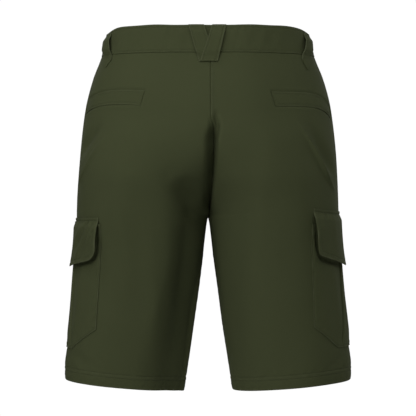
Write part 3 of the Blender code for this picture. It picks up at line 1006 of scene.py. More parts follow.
def make_active(*things: Thing) -> None:
    """Selects some objects alone and makes the first the active one."""
    deselect_all()
    for thing in things:
        thing.select_set(True)
    bpy.context.view_layer.objects.active = things[0]


def round_edges(thing: Thing, width: float, segments: int, degrees: float) -> None:
    """Adds a bevel along the edges that are sharper than an angle.

    Args:
        thing: The object.
        width: The bevel's width in millimetres.
        segments: How many faces it has across.
        degrees: The angle.
    """
    edge = thing.modifiers.new("Rounded edge", "BEVEL")
    edge.width = width * MM
    edge.segments = segments
    edge.limit_method = "ANGLE"
    edge.angle_limit = math.radians(degrees)


def apply_modifiers(thing: Thing) -> None:
    """Applies every modifier of an object in order.

    Args:
        thing: The object.
    """
    make_active(thing)
    for modifier in list(thing.modifiers):
        bpy.ops.object.modifier_apply(modifier=modifier.name)


def mesh_object(name: str, points: Array, faces: Array) -> Thing:
    """An object from arrays.

    Args:
        name: The object's name.
        points: Its vertices in metres.
        faces: Vertex numbers, the same count for every face.

    Returns:
        The new object, linked to the scene.
    """
    mesh = bpy.data.meshes.new(name)
    mesh.vertices.add(len(points))
    mesh.vertices.foreach_set("co", np.ascontiguousarray(points, np.float32).ravel())
    mesh.loops.add(faces.size)
    mesh.loops.foreach_set("vertex_index", np.ascontiguousarray(faces, np.int32).ravel())
    mesh.polygons.add(len(faces))
    starts = np.arange(len(faces), dtype=np.int32) * faces.shape[1]
    mesh.polygons.foreach_set("loop_start", starts)
    mesh.update(calc_edges=True)
    mesh.validate()
    thing = bpy.data.objects.new(name, mesh)
    bpy.context.scene.collection.objects.link(thing)
    return thing


def smooth_by_angle(thing: Thing, degrees: float) -> None:
    """Shades an object smooth but for edges sharper than an angle."""
    make_active(thing)
    bpy.ops.object.shade_smooth_by_angle(angle=math.radians(degrees))


def grid_faces(rows: int, columns: int, flipped: bool) -> Array:
    """The quads of a grid of points.

    Args:
        rows: How many points down.
        columns: How many points across.
        flipped: True to turn every face over.

    Returns:
        Vertex numbers, four to a face.
    """
    first = (np.arange(rows - 1)[:, None] * columns + np.arange(columns - 1)[None, :]).ravel()
    quads = np.stack([first, first + 1, first + columns + 1, first + columns], axis=1)
    return quads[:, ::-1] if flipped else quads


# ---- cloth pieces


def sided(word: str, side: int) -> str:
    """A word with the wearer's side after it, as in the record's node names."""
    return f"{word}_left" if side == LEFT else f"{word}_right"


def level_line(start: float, end: float, level: float, step: float) -> Array:
    """Evenly spaced places (a, b) on a line straight across a cut."""
    stops = spread(start, end, step)
    return np.stack([stops, np.full_like(stops, level)], axis=1)


@dataclass
class ClothPiece:
    """One cut piece of cloth, laid on the garment and named after the node it replaces.

    Places on its flat cut are (a, b) in millimetres, a across the cut and b down it.
    """

    least_sheet: ClassVar[float] = 0.0101  # the shortest side of a flat cut, in metres
    word: ClassVar[str] = ""  # its name in the record but for the side

    garment: Garment
    node: str
    side: int
    rests_on: str = ""
    slot: Slot = Slot.SHELL
    wall: float = 0.95
    rounding: float = 0.32
    step: float = 2.3  # the usual distance between the mesh's stops
    fine: float = 0.55  # the same at an edge, a seam or a row of stitches
    crowd: float = 9.0  # how far from there it has widened to the usual one
    stitch_step: float = 1.2  # between the places that mark a stitched line
    seed: int = 1
    waves: Span = (8.0, 20.0)  # the shortest and the longest of its edges' uneven waves

    def __post_init__(self) -> None:
        """Draws the waves that make the piece uneven."""
        self.ripple = Ripple(self.seed + self.side, *self.waves)

    @classmethod
    def of(cls, garment: Garment, side: int, **own: object) -> "ClothPiece":
        """A piece of one side that lies on its back panel, with values of its own."""
        return cls(garment, sided(cls.word, side), side, sided("back_panel", side), **own)

    def name(self) -> str:
        """The finished object's name."""
        return f"cloth_{self.node}"

    def grid(self) -> tuple[Array, Array]:
        """The mesh's places on the flat cut: arrays of a and b, rows down and columns across."""
        raise NotImplementedError

    def spots(self, a: Array, b: Array) -> Places:
        """Where places of the cut lie on the garment: heights, reaches and how far out."""
        raise NotImplementedError

    def rub(self, a: Array, b: Array) -> Array:
        """How rubbed the cloth is, from 0 to 1."""
        return np.zeros_like(a)

    def seams(self) -> list[Array]:
        """The piece's stitched lines, as places on its cut."""
        return []

    def stops(self, start: float, end: float, lines: tuple) -> Array:
        """Stops of the mesh that crowd together around some lines."""
        return graded(start, end, self.step, lines, self.fine, self.crowd)

    def surface(self, a: Array, b: Array, raised: float = 0.0) -> Array:
        """Points of the outer face in metres, or of a level above it."""
        height, reach, out = self.spots(np.asarray(a, float), np.asarray(b, float))
        return self.garment.place(self.side, height, reach, out + raised)

    def build(self, finishes: Finishes) -> Thing:
        """Args:
            finishes: The garment's materials.

        Returns:
            The finished object.
        """
        a, b = self.grid()
        points = self.surface(a, b)
        rows, columns = a.shape
        middle = (rows // 2, columns // 2)
        across = points[middle[0], middle[1] + 1] - points[middle]
        down = points[middle[0] + 1, middle[1]] - points[middle]
        height, reach, _ = self.spots(a[middle][None], b[middle][None])
        facing = self.garment.facing(self.side, height, reach)[0]
        faces = grid_faces(rows, columns, float(np.cross(across, down) @ facing) <= 0)
        thing = mesh_object(self.name(), points.reshape(-1, 3), faces)
        mesh = thing.data
        corner = np.empty(len(mesh.loops), np.int32)
        mesh.loops.foreach_get("vertex_index", corner)
        flat = np.stack([a.ravel(), -b.ravel()], axis=1) * MM
        cut = mesh.uv_layers.new(name="cut")
        cut.data.foreach_set("uv", flat[corner].astype(np.float32).ravel())
        rub = mesh.attributes.new("rub", "FLOAT", "POINT")
        rub.data.foreach_set("value", np.clip(self.rub(a, b), 0.0, 1.0).astype(np.float32).ravel())
        shell = thing.modifiers.new("Wall", "SOLIDIFY")
        shell.thickness = self.wall * MM
        shell.offset = -1.0
        round_edges(thing, self.rounding, 2, 62)
        apply_modifiers(thing)
        smooth_by_angle(thing, 55)
        mesh.materials.append(finishes.inside if self.slot is Slot.INSIDE else finishes.shell)
        self.declare(thing)
        return thing

    def declare(self, thing: Thing) -> None:
        """Hangs the piece on the frame's body and hides the part of the model that it stands in for.

        Args:
            thing: The finished object.
        """
        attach(thing, BODY)
        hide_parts(self.node)


@dataclass
class LegPanel(ClothPiece):
    """One leg's back or front, from the band seam to the folded hem edge."""

    waves: Span = (8.0, 22.0)
    back: bool = True
    cut_width: float = 300.0  # of the grid before it is stretched to the panel's real width
    seam_margin: float = 14.0  # beside each seam, where the grid isn't stretched
    seam_row: float = 2.2
    groove: float = 0.85
    overlap: float = 0.2
    tucked: float = 1.2
    bed: float = 1.9
    hem_rows: Span = (14.6, 20.4)
    stitch_step: float = 1.5
    seat_row: Span = (24.0, 118.0)  # how far down the right back's row beside the centre seam runs
    front_row_end: float = 240.0
    fly_width: float = 36.0
    fly_turn: float = 112.0
    fly_end: float = 172.0
    fly_rows: Span = (0.0, 5.5)

    def width(self, height: Array) -> Array:
        """The reach from the side seam to the centre seam or inseam.

        Args:
            height: Heights on the side line.

        Returns:
            The panel's width there.
        """
        form, crotch = self.garment.form, self.garment.crotch
        shift = form.column("seam_shift", height) * self.side if self.back else 0.0
        # the centre seam's edges overlap a little; below the fork each leg has its own seam
        past = self.overlap * smooth(height, crotch + 0.1, crotch + 1.0)
        return form.limit(height, self.back) + shift + past - 0.04 + self.overlap / 2

    def grid(self) -> tuple[Array, Array]:
        """See ClothPiece."""
        wide, margin = self.cut_width, self.seam_margin
        top, fork = -self.garment.band_seam - self.tucked, -self.garment.crotch
        hem = -self.garment.hem_edge
        low, high = self.hem_rows
        across = self.stops(0.0, wide, (0.0, self.seam_row, wide - self.seam_row, wide))
        rows = (top + self.tucked, fork - 0.2, fork + 1.6, hem - high, hem - low, hem)
        ref, b = np.meshgrid(across, self.stops(top, hem, rows))
        width = self.width(-b)
        places = [0.0 * width, margin + 0 * width, width - margin, width]
        return remap(ref, [0.0, margin, wide - margin, wide], places), b

    def spots(self, a: Array, b: Array) -> Places:
        """See ClothPiece."""
        height, side_gap, seam_gap = -b, a, self.width(-b) - a
        hem = height - self.garment.hem_edge
        top = np.maximum(self.garment.band_seam - height, 0.0)
        grooves = bump(side_gap, 0, 0.75) + 1.4 * bump(seam_gap, 0, 0.9) + 0.9 * bump(top, 0, 0.9)
        out = -self.groove * grooves
        if self.back and self.side == RIGHT:
            out += 0.45 * bump(seam_gap, 2.6, 1.5) * (1 - smooth(b, 108, 126))
        out -= 0.8 * bump(hem, 0, 0.6)
        for row in self.hem_rows:
            out -= 0.45 * bump(hem, row, 0.8)
        out = out + 0.26 * bump(hem, sum(self.hem_rows) / 2, 1.9) + 0.25 * bump(hem, 7.5, 5.0)
        # cloth gathers a little along every line of stitches
        gathers = ((side_gap, b, 0.20), (seam_gap, b + 90.0, 0.18), (top, a + 400.0, 0.22))
        for gap, along, high in gathers:
            out += high * self.ripple.at(along) * np.exp(-gap / 6) * smooth(gap, 0, 2)
        over = np.abs(hem - self.hem_rows[1])
        near_row = np.exp(-over / 7) * smooth(over, 0, 1.5)
        out += 0.30 * self.ripple.at(a * 0.8 + hem * 0.7) * near_row
        out += 0.22 * self.ripple.at(a * 1.1 - hem * 1.2) * bump(hem, 8, 5)
        if not self.back and self.side == LEFT:
            outside = np.where(b < self.fly_end, seam_gap - self._fly_edge(b, 0.0), 10.0)
            out += 0.35 * (1 - smooth(outside, -0.8, 0.8))
        reach = a - self.overlap / 2
        if self.back:
            # a shallow bed for the welt, and the lip round it
            inside = BackWelt.of(self.garment, self.side, **WELT_HANG[self.side]).inside(height, reach)
            out = out - self.bed * smooth(inside, -2.4, 0.4) + 0.35 * bump(inside, -3.4, 1.6)
        return height, reach * (1 if self.back else -1), out

    def rub(self, a: Array, b: Array) -> Array:
        """See ClothPiece."""
        seam_gap = self.width(-b) - a
        hem = -b - self.garment.hem_edge
        patchy = 0.6 + 0.4 * self.ripple.at(b + a)
        on_seam = 1.0
        if self.back:
            on_seam = (1 - smooth(b, 104, 122)) * (self.side == RIGHT) + smooth(b, 250, 262)
        worn = bump(a, 1.6, 1.3) + bump(seam_gap, 2.4, 1.3) * on_seam
        between = bump(hem, sum(self.hem_rows) / 2, 2.0)
        return patchy * (0.45 * worn + 0.65 * bump(hem, 0.8, 1.2) + 0.2 * between)

    def seams(self) -> list[Array]:
        """See ClothPiece."""
        lines = []
        for row in self.hem_rows:
            level = -self.garment.hem_edge - row
            end = float(self.width(np.array([-level]))[0]) - 0.8
            lines.append(level_line(0.8, end, level, self.stitch_step))
        start, end = self.seat_row
        if not self.back:
            start = self.fly_end + 4 if self.side == LEFT else start
            lines.append(self._beside_seam(start, self.front_row_end))
            if self.side == LEFT:
                lines += [self._fly_curve(inset) for inset in self.fly_rows]
        elif self.side == RIGHT:
            lines.append(self._beside_seam(start, end))
        return lines

    def _beside_seam(self, start: float, end: float) -> Array:
        """A line of stitches along the centre seam, between two levels."""
        stops = spread(start, end, self.stitch_step)
        return np.stack([self.width(-stops) - self.seam_row, stops], axis=1)

    def _fly_edge(self, b: Array, inset: float) -> Array:
        """How far the fly's curved stitching lies from the centre seam, at each level."""
        turn = smooth(b, self.fly_turn, self.fly_end - inset)
        return (self.fly_width - inset) * np.sqrt(np.clip(1 - turn**2, 0.0, 1.0))

    def _fly_curve(self, inset: float) -> Array:
        """The curved line of stitches that holds the fly facing.

        Args:
            inset: How far it lies inside the outermost one.

        Returns:
            Places on the cut, an array of (a, b).
        """
        turn = np.linspace(0.0, 1.0, 60)
        curve = self.fly_turn + (self.fly_end - self.fly_turn - inset) * turn[1:]
        down = np.concatenate([spread(23.0, self.fly_turn, 2.0), curve])
        away = self._fly_edge(down, inset)
        return np.stack([self.width(-down) - away, down], axis=1)[away > 2.5]


@dataclass
class HemTurnUp(ClothPiece):
    """The hem's turned-up strip inside the leg end, whose ends meet at the inseam."""

    word: ClassVar[str] = "hem_turn_up"
    slot: Slot = Slot.INSIDE
    turn: float = 22.0
    lie: float = 1.05
    columns: int = 221

    def grid(self) -> tuple[Array, Array]:
        """See ClothPiece."""
        form, edge = self.garment.form, self.garment.hem_edge
        down = spread(-(edge + self.turn), -(edge + 0.5), 1.4)
        share, b = np.meshgrid(np.linspace(0.0, 1.0, self.columns), down)
        front, back = form.limit(-b, False), form.limit(-b, True)
        return -front + 0.04 + share * (front + back - 0.08), b

    def spots(self, a: Array, b: Array) -> Places:
        """See ClothPiece."""
        hem = -b - self.garment.hem_edge
        out = -self.lie - 0.22 * bump(hem, self.turn - 1.0, 2.0) + 0.15 * bump(hem, 0.5, 1.0)
        return -b, a, out


@dataclass
class Waistband(ClothPiece):
    """A stretch of the waistband between two stops, which run from the side seam."""

    wall: float = 2.1
    rounding: float = 0.7
    step: float = 2.0
    crowd: float = 5.0
    seed: int = 60
    waves: Span = (14.0, 40.0)
    columns: int = 301
    front: bool = False
    stand_off: float = 0.6
    lap: float = 20.0
    overlap: float = 0.35  # past each side seam, where the two ends share a groove
    tuck: float = 2.9
    top_row: float = 3.8
    seam_row: float = 2.9
    end_row: float = 3.0
    stitch_step: float = 1.5

    def depth(self) -> float:
        """The band's own height."""
        return self.garment.waist_edge - self.garment.band_seam - 0.1

    def whole(self, b: Array) -> Array:
        """The reach from the side seam to the far end at each level."""
        limit = self.garment.form.limit(self.garment.waist_edge - b, not self.front)
        return limit + self.lap if self.front else 2 * limit

    def grid(self) -> tuple[Array, Array]:
        """See ClothPiece."""
        depth = self.depth()
        down = self.stops(0.0, depth, (0.0, self.top_row, depth - self.seam_row, depth))
        share, b = np.meshgrid(np.linspace(0.0, 1.0, self.columns), down)
        return share * (self.whole(b) + 2 * self.overlap) - self.overlap, b

    def spots(self, a: Array, b: Array) -> Places:
        """See ClothPiece."""
        low, whole = self.depth() - b, self.whole(b)
        out = self.stand_off - 0.46 * (bump(b, self.top_row, 0.85) + bump(low, self.seam_row, 0.85))
        out = out - 0.55 * bump(low, 0.0, 0.9) - 0.5 * bump(a, 0.0, 0.9)
        if not self.front:
            out -= 0.5 * bump(whole - a, 0.0, 0.9)
        roll = 0.32 * self.ripple.at(a * 1.0) * bump(b, 17.0, 12.0)
        gather = 0.16 * self.ripple.at(a * 2.3 + 50) * (bump(b, 7.0, 4.0) + bump(low, 6.0, 4.0))
        out = out + roll + gather
        # the top edge dips at the side seams and the far sides of the back, and rises between
        near_top = 1 - smooth(b, 0.0, 24.0)
        from_side = a if self.front else np.minimum(a, whole - a)
        dip = bump(from_side, -12.0 if self.front else 12.0, 20.0)
        wave = 0.25 * self.ripple.at(a * 0.5 + 9) - 2.0 * dip
        height = self.garment.waist_edge - b + wave * near_top
        if self.front:
            if self.side == RIGHT:
                from_centre = whole - self.lap - a
                out -= self.tuck * (1 - smooth(from_centre, self.lap + 1, self.lap + 22))
            return height, -a, out
        corner = 2.6 * bump(from_side, 36.0, 22.0)
        crown = 1.7 * bump(from_side, 72.0, 34.0) + 1.2 * bump(from_side, 126.0, 34.0)
        height = height + (crown - corner) * near_top
        # the band widens downwards, so a place's share of its width is kept
        return height, a * 2 * self.garment.form.limit(height, True) / whole, out

    def rub(self, a: Array, b: Array) -> Array:
        """See ClothPiece."""
        patchy = 0.6 + 0.4 * self.ripple.at(a * 1.7 + 4)
        return patchy * (0.75 * bump(b, 0.2, 1.3) + 0.25 * bump(self.depth() - b, 1.0, 1.2))

    def seams(self) -> list[Array]:
        """See ClothPiece."""
        rows = (self.top_row, self.depth() - self.seam_row)
        lines = []
        for row in rows:
            whole = float(self.whole(np.array([row]))[0])
            end = whole - (self.end_row if self.front else self.stitch_step)
            lines.append(level_line(self.stitch_step, end, row, self.stitch_step))
        if self.front and self.side == LEFT:
            stops = spread(*rows, 1.2)
            lines.append(np.stack([self.whole(stops) - self.end_row, stops], axis=1))
        return lines


class Corner(Enum):
    """How a cargo flap's lower corners are cut: the radius in millimetres."""

    ROUND = 15.0
    TIGHT = 5.0


@dataclass(frozen=True)
class CargoPlace:
    """Where one leg's cargo pocket sits, and how its flap falls."""

    side: int
    centre: float
    flap_top: float
    flap_length: float
    corner: Corner
    flap_taper: float
    flap_slope: float
    flap_rise: float  # how much higher the flap is sewn at its back edge than at the side
    flap_sag: float
    back_lift: float
    pocket_bottom: float
    pocket_half: float
    pocket_taper: float
    clip_across: float
    clip_up: float


CARGO_PLACES = (
    CargoPlace(
        LEFT, centre=4.0, flap_top=-258.0, flap_length=73.0, corner=Corner.ROUND, flap_taper=4.0,
        flap_slope=14.0, flap_rise=1.0, flap_sag=2.8, back_lift=6.8, pocket_bottom=-451.0,
        pocket_half=103.0, pocket_taper=11.0, clip_across=50.0, clip_up=30.0,
    ),
    CargoPlace(
        RIGHT, centre=14.0, flap_top=-249.6, flap_length=80.4, corner=Corner.TIGHT, flap_taper=13.5,
        flap_slope=15.5, flap_rise=6.6, flap_sag=1.6, back_lift=6.0, pocket_bottom=-448.5,
        pocket_half=98.5, pocket_taper=6.5, clip_across=44.0, clip_up=32.0,
    ),
)


@dataclass
class CargoPiece(ClothPiece):
    """A piece of a cargo pocket, with one row of stitches along its outline."""

    around: ClassVar[float] = 1.0  # a usual length of the outline, along which it is uneven
    spot: CargoPlace = CARGO_PLACES[0]
    edge_row: float = 2.0

    def outline(self) -> Outline:
        """The edge: down one side, along the bottom and up the other."""
        raise NotImplementedError


@dataclass
class CargoPocket(CargoPiece):
    """The cargo pocket: a patch with clipped lower corners, a box pleat and folded-in edges."""

    word: ClassVar[str] = "cargo_pocket"
    around: ClassVar[float] = 520.0
    wall: float = 1.0
    step: float = 2.4
    fine: float = 0.5
    crowd: float = 7.0
    seed: int = 83
    waves: Span = (7.0, 18.0)
    top: float = -268.0
    waisted: float = 4.0
    level: float = 4.0
    pleat: float = 18.0
    pleat_flare: float = 16.0
    flare_start: float = 120.0
    pleat_lip: float = 2.0
    pleat_raise: float = 1.4
    pleat_opens: Span = (16.0, 70.0)
    pleat_closes: Span = (162.0, 183.0)
    fullness: float = 0.5
    lie: float = 1.2

    def long(self) -> float:
        """The pocket's length."""
        return self.top - self.spot.pocket_bottom

    def half(self, b: Array) -> Array:
        """Half the pocket's width.

        Args:
            b: Levels, measured down from the pocket's top.

        Returns:
            Half the width at each level.
        """
        long, spot = self.long(), self.spot
        clip = spot.clip_across * np.clip(1 - (long - b) / spot.clip_up, 0.0, 1.0)
        drawn = self.waisted * np.sin(math.pi * np.clip(b / long, 0.0, 1.0))
        return spot.pocket_half - spot.pocket_taper * b / long - clip - drawn

    def fold(self, b: Array) -> Array:
        """How far from the middle the box pleat folds."""
        return self.pleat + self.pleat_flare * smooth(b, self.flare_start, self.long())

    def outline(self) -> Outline:
        """See CargoPiece."""
        long = self.long()
        down = np.append(spread(0.0, long - self.spot.clip_up, 15.0), long)
        side = np.stack([self.half(down), down], axis=1)
        return Outline(np.concatenate([side * (-1, 1), side[::-1]]))

    def grid(self) -> tuple[Array, Array]:
        """See ClothPiece."""
        long, whole, row = self.long(), self.spot.pocket_half, self.edge_row
        lip = self.pleat + self.pleat_lip
        stops = self.stops(0.0, whole, (self.pleat, lip, whole - row, whole))
        down = self.stops(0.0, long, (long - self.spot.clip_up, long - row, long))
        ref, b = np.meshgrid(np.concatenate([-stops[:0:-1], stops]), down)
        half, fold = self.half(b), self.fold(b)
        places = [0 * half, fold - 0.8, fold + 0.9, half - 8, half]
        away = remap(np.abs(ref), [0.0, self.pleat, lip, whole - 8, whole], places)
        return np.copysign(away, ref), b

    def spots(self, a: Array, b: Array) -> Places:
        """See ClothPiece."""
        edge, _, along = self.outline().nearest(a, b)
        beside = np.abs(a) - self.fold(b)
        out = self.lie - 0.40 * bump(edge, self.edge_row, 0.8) + 0.25 * bump(edge, 5.0, 2.2)
        out += self.fullness * smooth(edge, 3.0, 26.0)
        near_row = np.exp(-np.abs(edge - 5.0) / 4.0) * smooth(edge, 1, 4)
        out += 0.30 * self.ripple.at(along * self.around) * near_row
        # the pleat stands up, with a lip along its fold and a groove beside it
        opened = smooth(b, *self.pleat_opens) * (1 - smooth(b, *self.pleat_closes))
        out += self.pleat_raise * smooth(-beside, -0.8, 0.8) * (0.35 + 0.65 * opened)
        out += (0.5 * bump(beside, -2.0, 2.4) - 1.2 * bump(beside, 2.2, 2.2)) * opened
        # the load line: soft sagging folds that lean in towards the bottom
        lean = a + (b - 90) * 0.16
        out += 0.55 * Ripple(87 + self.side, 26.0, 60.0, 4).at(lean) * smooth(edge, 6.0, 30.0)
        sag = self.level * (1 - (a / 100) ** 2) * b / self.long()
        return self.top - b - sag + self.level / 2, self.spot.centre + a, out

    def rub(self, a: Array, b: Array) -> Array:
        """See ClothPiece."""
        edge, _, along = self.outline().nearest(a, b)
        patchy = 0.6 + 0.4 * Ripple(91, 12.0, 50.0).at(along * self.around)
        return patchy * (0.6 * bump(edge, 0.3, 1.2) + 0.4 * bump(np.abs(a) - self.fold(b), -0.6, 0.8))

    def seams(self) -> list[Array]:
        """See ClothPiece."""
        return [self.outline().inset(self.edge_row).stepped(self.stitch_step)]


@dataclass(frozen=True)
class FlapRidge:
    """A soft slanting ridge of a flap that is pulled at its corners, or a dip beside one."""

    top: tuple[float, float]  # (a, b)
    foot: tuple[float, float]
    height: float
    half_width: float


FLAP_RIDGES: dict[int, tuple[FlapRidge, ...]] = {
    LEFT: (
        FlapRidge((96.0, 6.0), (60.0, 66.0), 3.2, 3.6),
        FlapRidge((86.0, 6.0), (40.0, 60.0), 2.2, 3.8),
        FlapRidge((66.0, 6.0), (16.0, 50.0), 1.8, 4.4),
        FlapRidge((92.0, 20.0), (64.0, 58.0), -2.0, 3.2),
        FlapRidge((76.0, 8.0), (34.0, 48.0), -1.8, 3.6),
        FlapRidge((-90.0, 9.0), (-58.0, 62.0), 1.0, 4.6),
        FlapRidge((-68.0, 8.0), (-30.0, 50.0), 0.8, 5.2),
    ),
    RIGHT: (
        FlapRidge((78.0, 8.0), (86.0, 40.0), 0.5, 6.0),
        FlapRidge((52.0, 8.0), (44.0, 60.0), 0.5, 8.0),
        FlapRidge((-86.0, 9.0), (-60.0, 60.0), 0.9, 5.0),
        FlapRidge((-54.0, 8.0), (-30.0, 52.0), 0.7, 6.0),
    ),
}


@dataclass
class CargoFlap(CargoPiece):
    """The cargo flap: sewn down along its top, bowed over the pocket and standing off below."""

    word: ClassVar[str] = "cargo_flap"
    around: ClassVar[float] = 330.0
    wall: float = 1.3
    rounding: float = 0.4
    step: float = 2.2
    crowd: float = 6.0
    seed: int = 101
    waves: Span = (7.0, 16.0)
    half_columns: int = 56
    top_half: float = 99.0
    top_row: float = 4.4
    edge_row: float = 6.2
    lie: float = 1.5
    over_pocket: float = 3.1
    bow: float = 4.2

    def half(self, b: Array) -> Array:
        """Half the flap's width at each level, measured down from its top."""
        return self.top_half - self.spot.flap_taper * b / self.spot.flap_length

    def length(self, share: Array) -> Array:
        """The flap's length, with the corners cut.

        Args:
            share: Shares of the flap's half width, from -1 to 1.

        Returns:
            The length at each share.
        """
        size = np.abs(share)
        radius = self.spot.corner.value
        begin = 1 - radius / self.top_half
        turn = np.clip((size - begin) / (1 - begin), 0.0, 1.0)
        cut = radius * (1 - np.sqrt(np.clip(1 - turn**2, 0.0, 1.0)))
        return self.spot.flap_length - self.spot.flap_slope * size**1.3 - cut

    def outline(self) -> Outline:
        """See CargoPiece."""
        turn = np.sin(np.linspace(-math.pi / 2, math.pi / 2, 121))
        low = self.length(turn)
        bottom = np.stack([turn * self.half(low), low], axis=1)
        down = spread(0.0, float(self.length(1.0)), 4.0)[:-1]
        side = np.stack([self.half(down), down], axis=1)
        return Outline(np.concatenate([side * (-1, 1), bottom, side[::-1]]))

    def grid(self) -> tuple[Array, Array]:
        """See ClothPiece."""
        # the stops crowd towards the corners, where the bottom edge turns up
        turn = np.linspace(0.0, 1.0, self.half_columns)
        stops = np.sin(turn * math.pi / 2) * 0.75 + turn * 0.25
        long = self.spot.flap_length
        down = self.stops(0.0, long, (0.0, self.top_row, long - self.edge_row, long))
        share, ref = np.meshgrid(np.concatenate([-stops[:0:-1], stops]), down)
        length = self.length(share)
        places = [0 * length, 8.0 + 0 * length, length - 9.0, length]
        b = remap(ref, [0.0, 8.0, long - 9.0, long], places)
        return share * self.half(b), b

    def ridges(self, a: Array, b: Array) -> Array:
        """How high the flap's slanting ridges stand.

        Args:
            a: Across the cut.
            b: Down the cut.

        Returns:
            Heights in millimetres.
        """
        height = np.zeros_like(a)
        for ridge in FLAP_RIDGES[self.side]:
            distance, _, along = Outline([ridge.top, ridge.foot]).nearest(a, b)
            fade = np.exp(-((distance / ridge.half_width) ** 2))
            height += ridge.height * np.sin(math.pi * (0.1 + 0.8 * along)) * fade
        return height

    def spots(self, a: Array, b: Array) -> Places:
        """See ClothPiece."""
        spot = self.spot
        edge, _, along = self.outline().nearest(a, b)
        part, size = b / spot.flap_length, np.abs(a) / self.top_half
        out = self.lie - 0.60 * bump(b, self.top_row, 0.95) + self.over_pocket * smooth(b, 5.0, 15.0)
        out = out + self.bow * part**2 - 0.7 * size**6 * (1 - part)
        back = smooth(a, 20.0, 90.0)
        out += spot.back_lift * back * smooth(part, 0.04, 0.5) * smooth(size, 0.62, 1.0)
        row = bump(edge, self.edge_row, 0.85) * smooth(b, 5.0, 9.0)
        out = out - 0.38 * row + 0.15 * bump(edge, 3.0, 2.0)
        out += 0.55 * self.ripple.at(a) * bump(b, 9.0, 4.0) * smooth(b, 4.6, 6.5)
        out += 0.18 * self.ripple.at(along * self.around) * bump(edge, 8.5, 3.0)
        level = spot.flap_rise * size**2 - spot.flap_sag * (1 - size**2)
        height, reach = spot.flap_top - b + level, spot.centre + a
        # the gaps are under the flap, so it is brought out again by as much as they draw it in
        gaps = [fold.depth_at(height, reach) for fold in FLAP_GAPS[self.side]]
        return height, reach, out + self.ridges(a, b) + np.sum(gaps, axis=0)

    def rub(self, a: Array, b: Array) -> Array:
        """See ClothPiece."""
        edge, _, along = self.outline().nearest(a, b)
        patchy = 0.65 + 0.35 * Ripple(97, 12.0, 50.0).at(along * self.around)
        return patchy * (0.8 * bump(edge, 0.2, 1.4) + 0.3 * bump(b, 0.4, 1.2))

    def seams(self) -> list[Array]:
        """See ClothPiece."""
        end = self.top_half - 3
        around = self.outline().inset(self.edge_row).stepped(self.stitch_step)
        below_top = around[around[:, 1] > self.top_row + 1.5]
        return [level_line(-end, end, self.top_row, self.stitch_step), below_top]


@dataclass
class BackWelt(ClothPiece):
    """The long welt of a back pocket, with a slanted inner end and a drooping outer one."""

    word: ClassVar[str] = "back_welt"
    wall: float = 0.8
    step: float = 1.8
    fine: float = 0.5
    crowd: float = 4.0
    seed: int = 111
    top: float = -77.0
    bottom: float = -98.5
    outer_reach: float = 30.0
    inner_x: float = 93.0
    slant: float = 7.0
    lift: float = 1.2
    rise: float = 2.6
    droop: float = 9.5
    droop_power: float = 4.0
    edge_row: float = 3.2
    lie: float = -0.75
    gape: float = 0.5

    def high(self) -> float:
        """The welt's own height."""
        return self.top - self.bottom

    def long(self, b: Array) -> Array:
        """The welt's length at each level."""
        limit = self.garment.form.limit(self.top - b, True)
        return limit - self.inner_x - self.slant * b / self.high() - self.outer_reach

    def bend(self, share: Array) -> Array:
        """How much higher the welt lies at a share of its length."""
        rise = self.rise * np.sin(math.pi * np.clip((1 - share) / 0.9, 0.0, 1.0))
        return self.lift + rise - self.droop * np.clip(1 - share, 0.0, 1.0) ** self.droop_power

    def edge(self, a: Array, b: Array) -> Array:
        """How far a place of the cut lies from the nearest edge, negative outside it."""
        return np.minimum(np.minimum(b, self.high() - b), np.minimum(a, self.long(b) - a))

    def inside(self, height: Array, reach: Array) -> Array:
        """How far inside the welt's outline places of the panel are.

        Args:
            height: Heights of the places.
            reach: Reaches of the places.

        Returns:
            Distances, negative outside the welt.
        """
        a = reach - self.outer_reach
        share = np.clip(a / self.long(np.full_like(a, self.high() / 2)), 0.0, 1.0)
        return self.edge(a, self.top + self.bend(share) - height)

    def grid(self) -> tuple[Array, Array]:
        """See ClothPiece."""
        high = self.high()
        down = self.stops(0.0, high, (0.0, self.edge_row, high - self.edge_row, high))
        share, b = np.meshgrid(graded(0.0, 1.0, 0.016, (0.0, 1.0), 0.005, 0.05), down)
        return share * self.long(b), b

    def spots(self, a: Array, b: Array) -> Places:
        """See ClothPiece."""
        share, edge = a / self.long(b), self.edge(a, b)
        out = self.lie - 0.26 * bump(edge, self.edge_row, 0.8) + 0.2 * bump(edge, 7.0, 4.0)
        out += 0.2 * self.ripple.at(a) * bump(edge, 5.5, 2.5)
        out -= 0.2 * bump(edge, 0.0, 0.5)
        # the outer end of the opening hangs a little open
        out += self.gape * smooth(b, 4.0, self.high()) * bump(share, 0.12, 0.30)
        return self.top - b + self.bend(share), self.outer_reach + a, out

    def rub(self, a: Array, b: Array) -> Array:
        """See ClothPiece."""
        edge = np.minimum(b, self.high() - b)
        return 0.6 * bump(edge, 0.3, 1.1) * (0.7 + 0.3 * Ripple(117, 15.0, 50.0).at(a))

    def seams(self) -> list[Array]:
        """See ClothPiece."""
        row, foot = self.edge_row, self.high() - self.edge_row
        near, far = self.long(np.array([row, foot])) - row
        corners = [(row, row), (near, row), (far, foot), (row, foot), (row, row)]
        return [Outline(corners).stepped(self.stitch_step)]


# the right welt hangs more than the usual one
WELT_HANG: dict[int, dict[str, float]] = {
    LEFT: {},
    RIGHT: {"lift": 0.2, "rise": 0.3, "droop": 18.0, "droop_power": 5.0, "gape": 0.8},
}


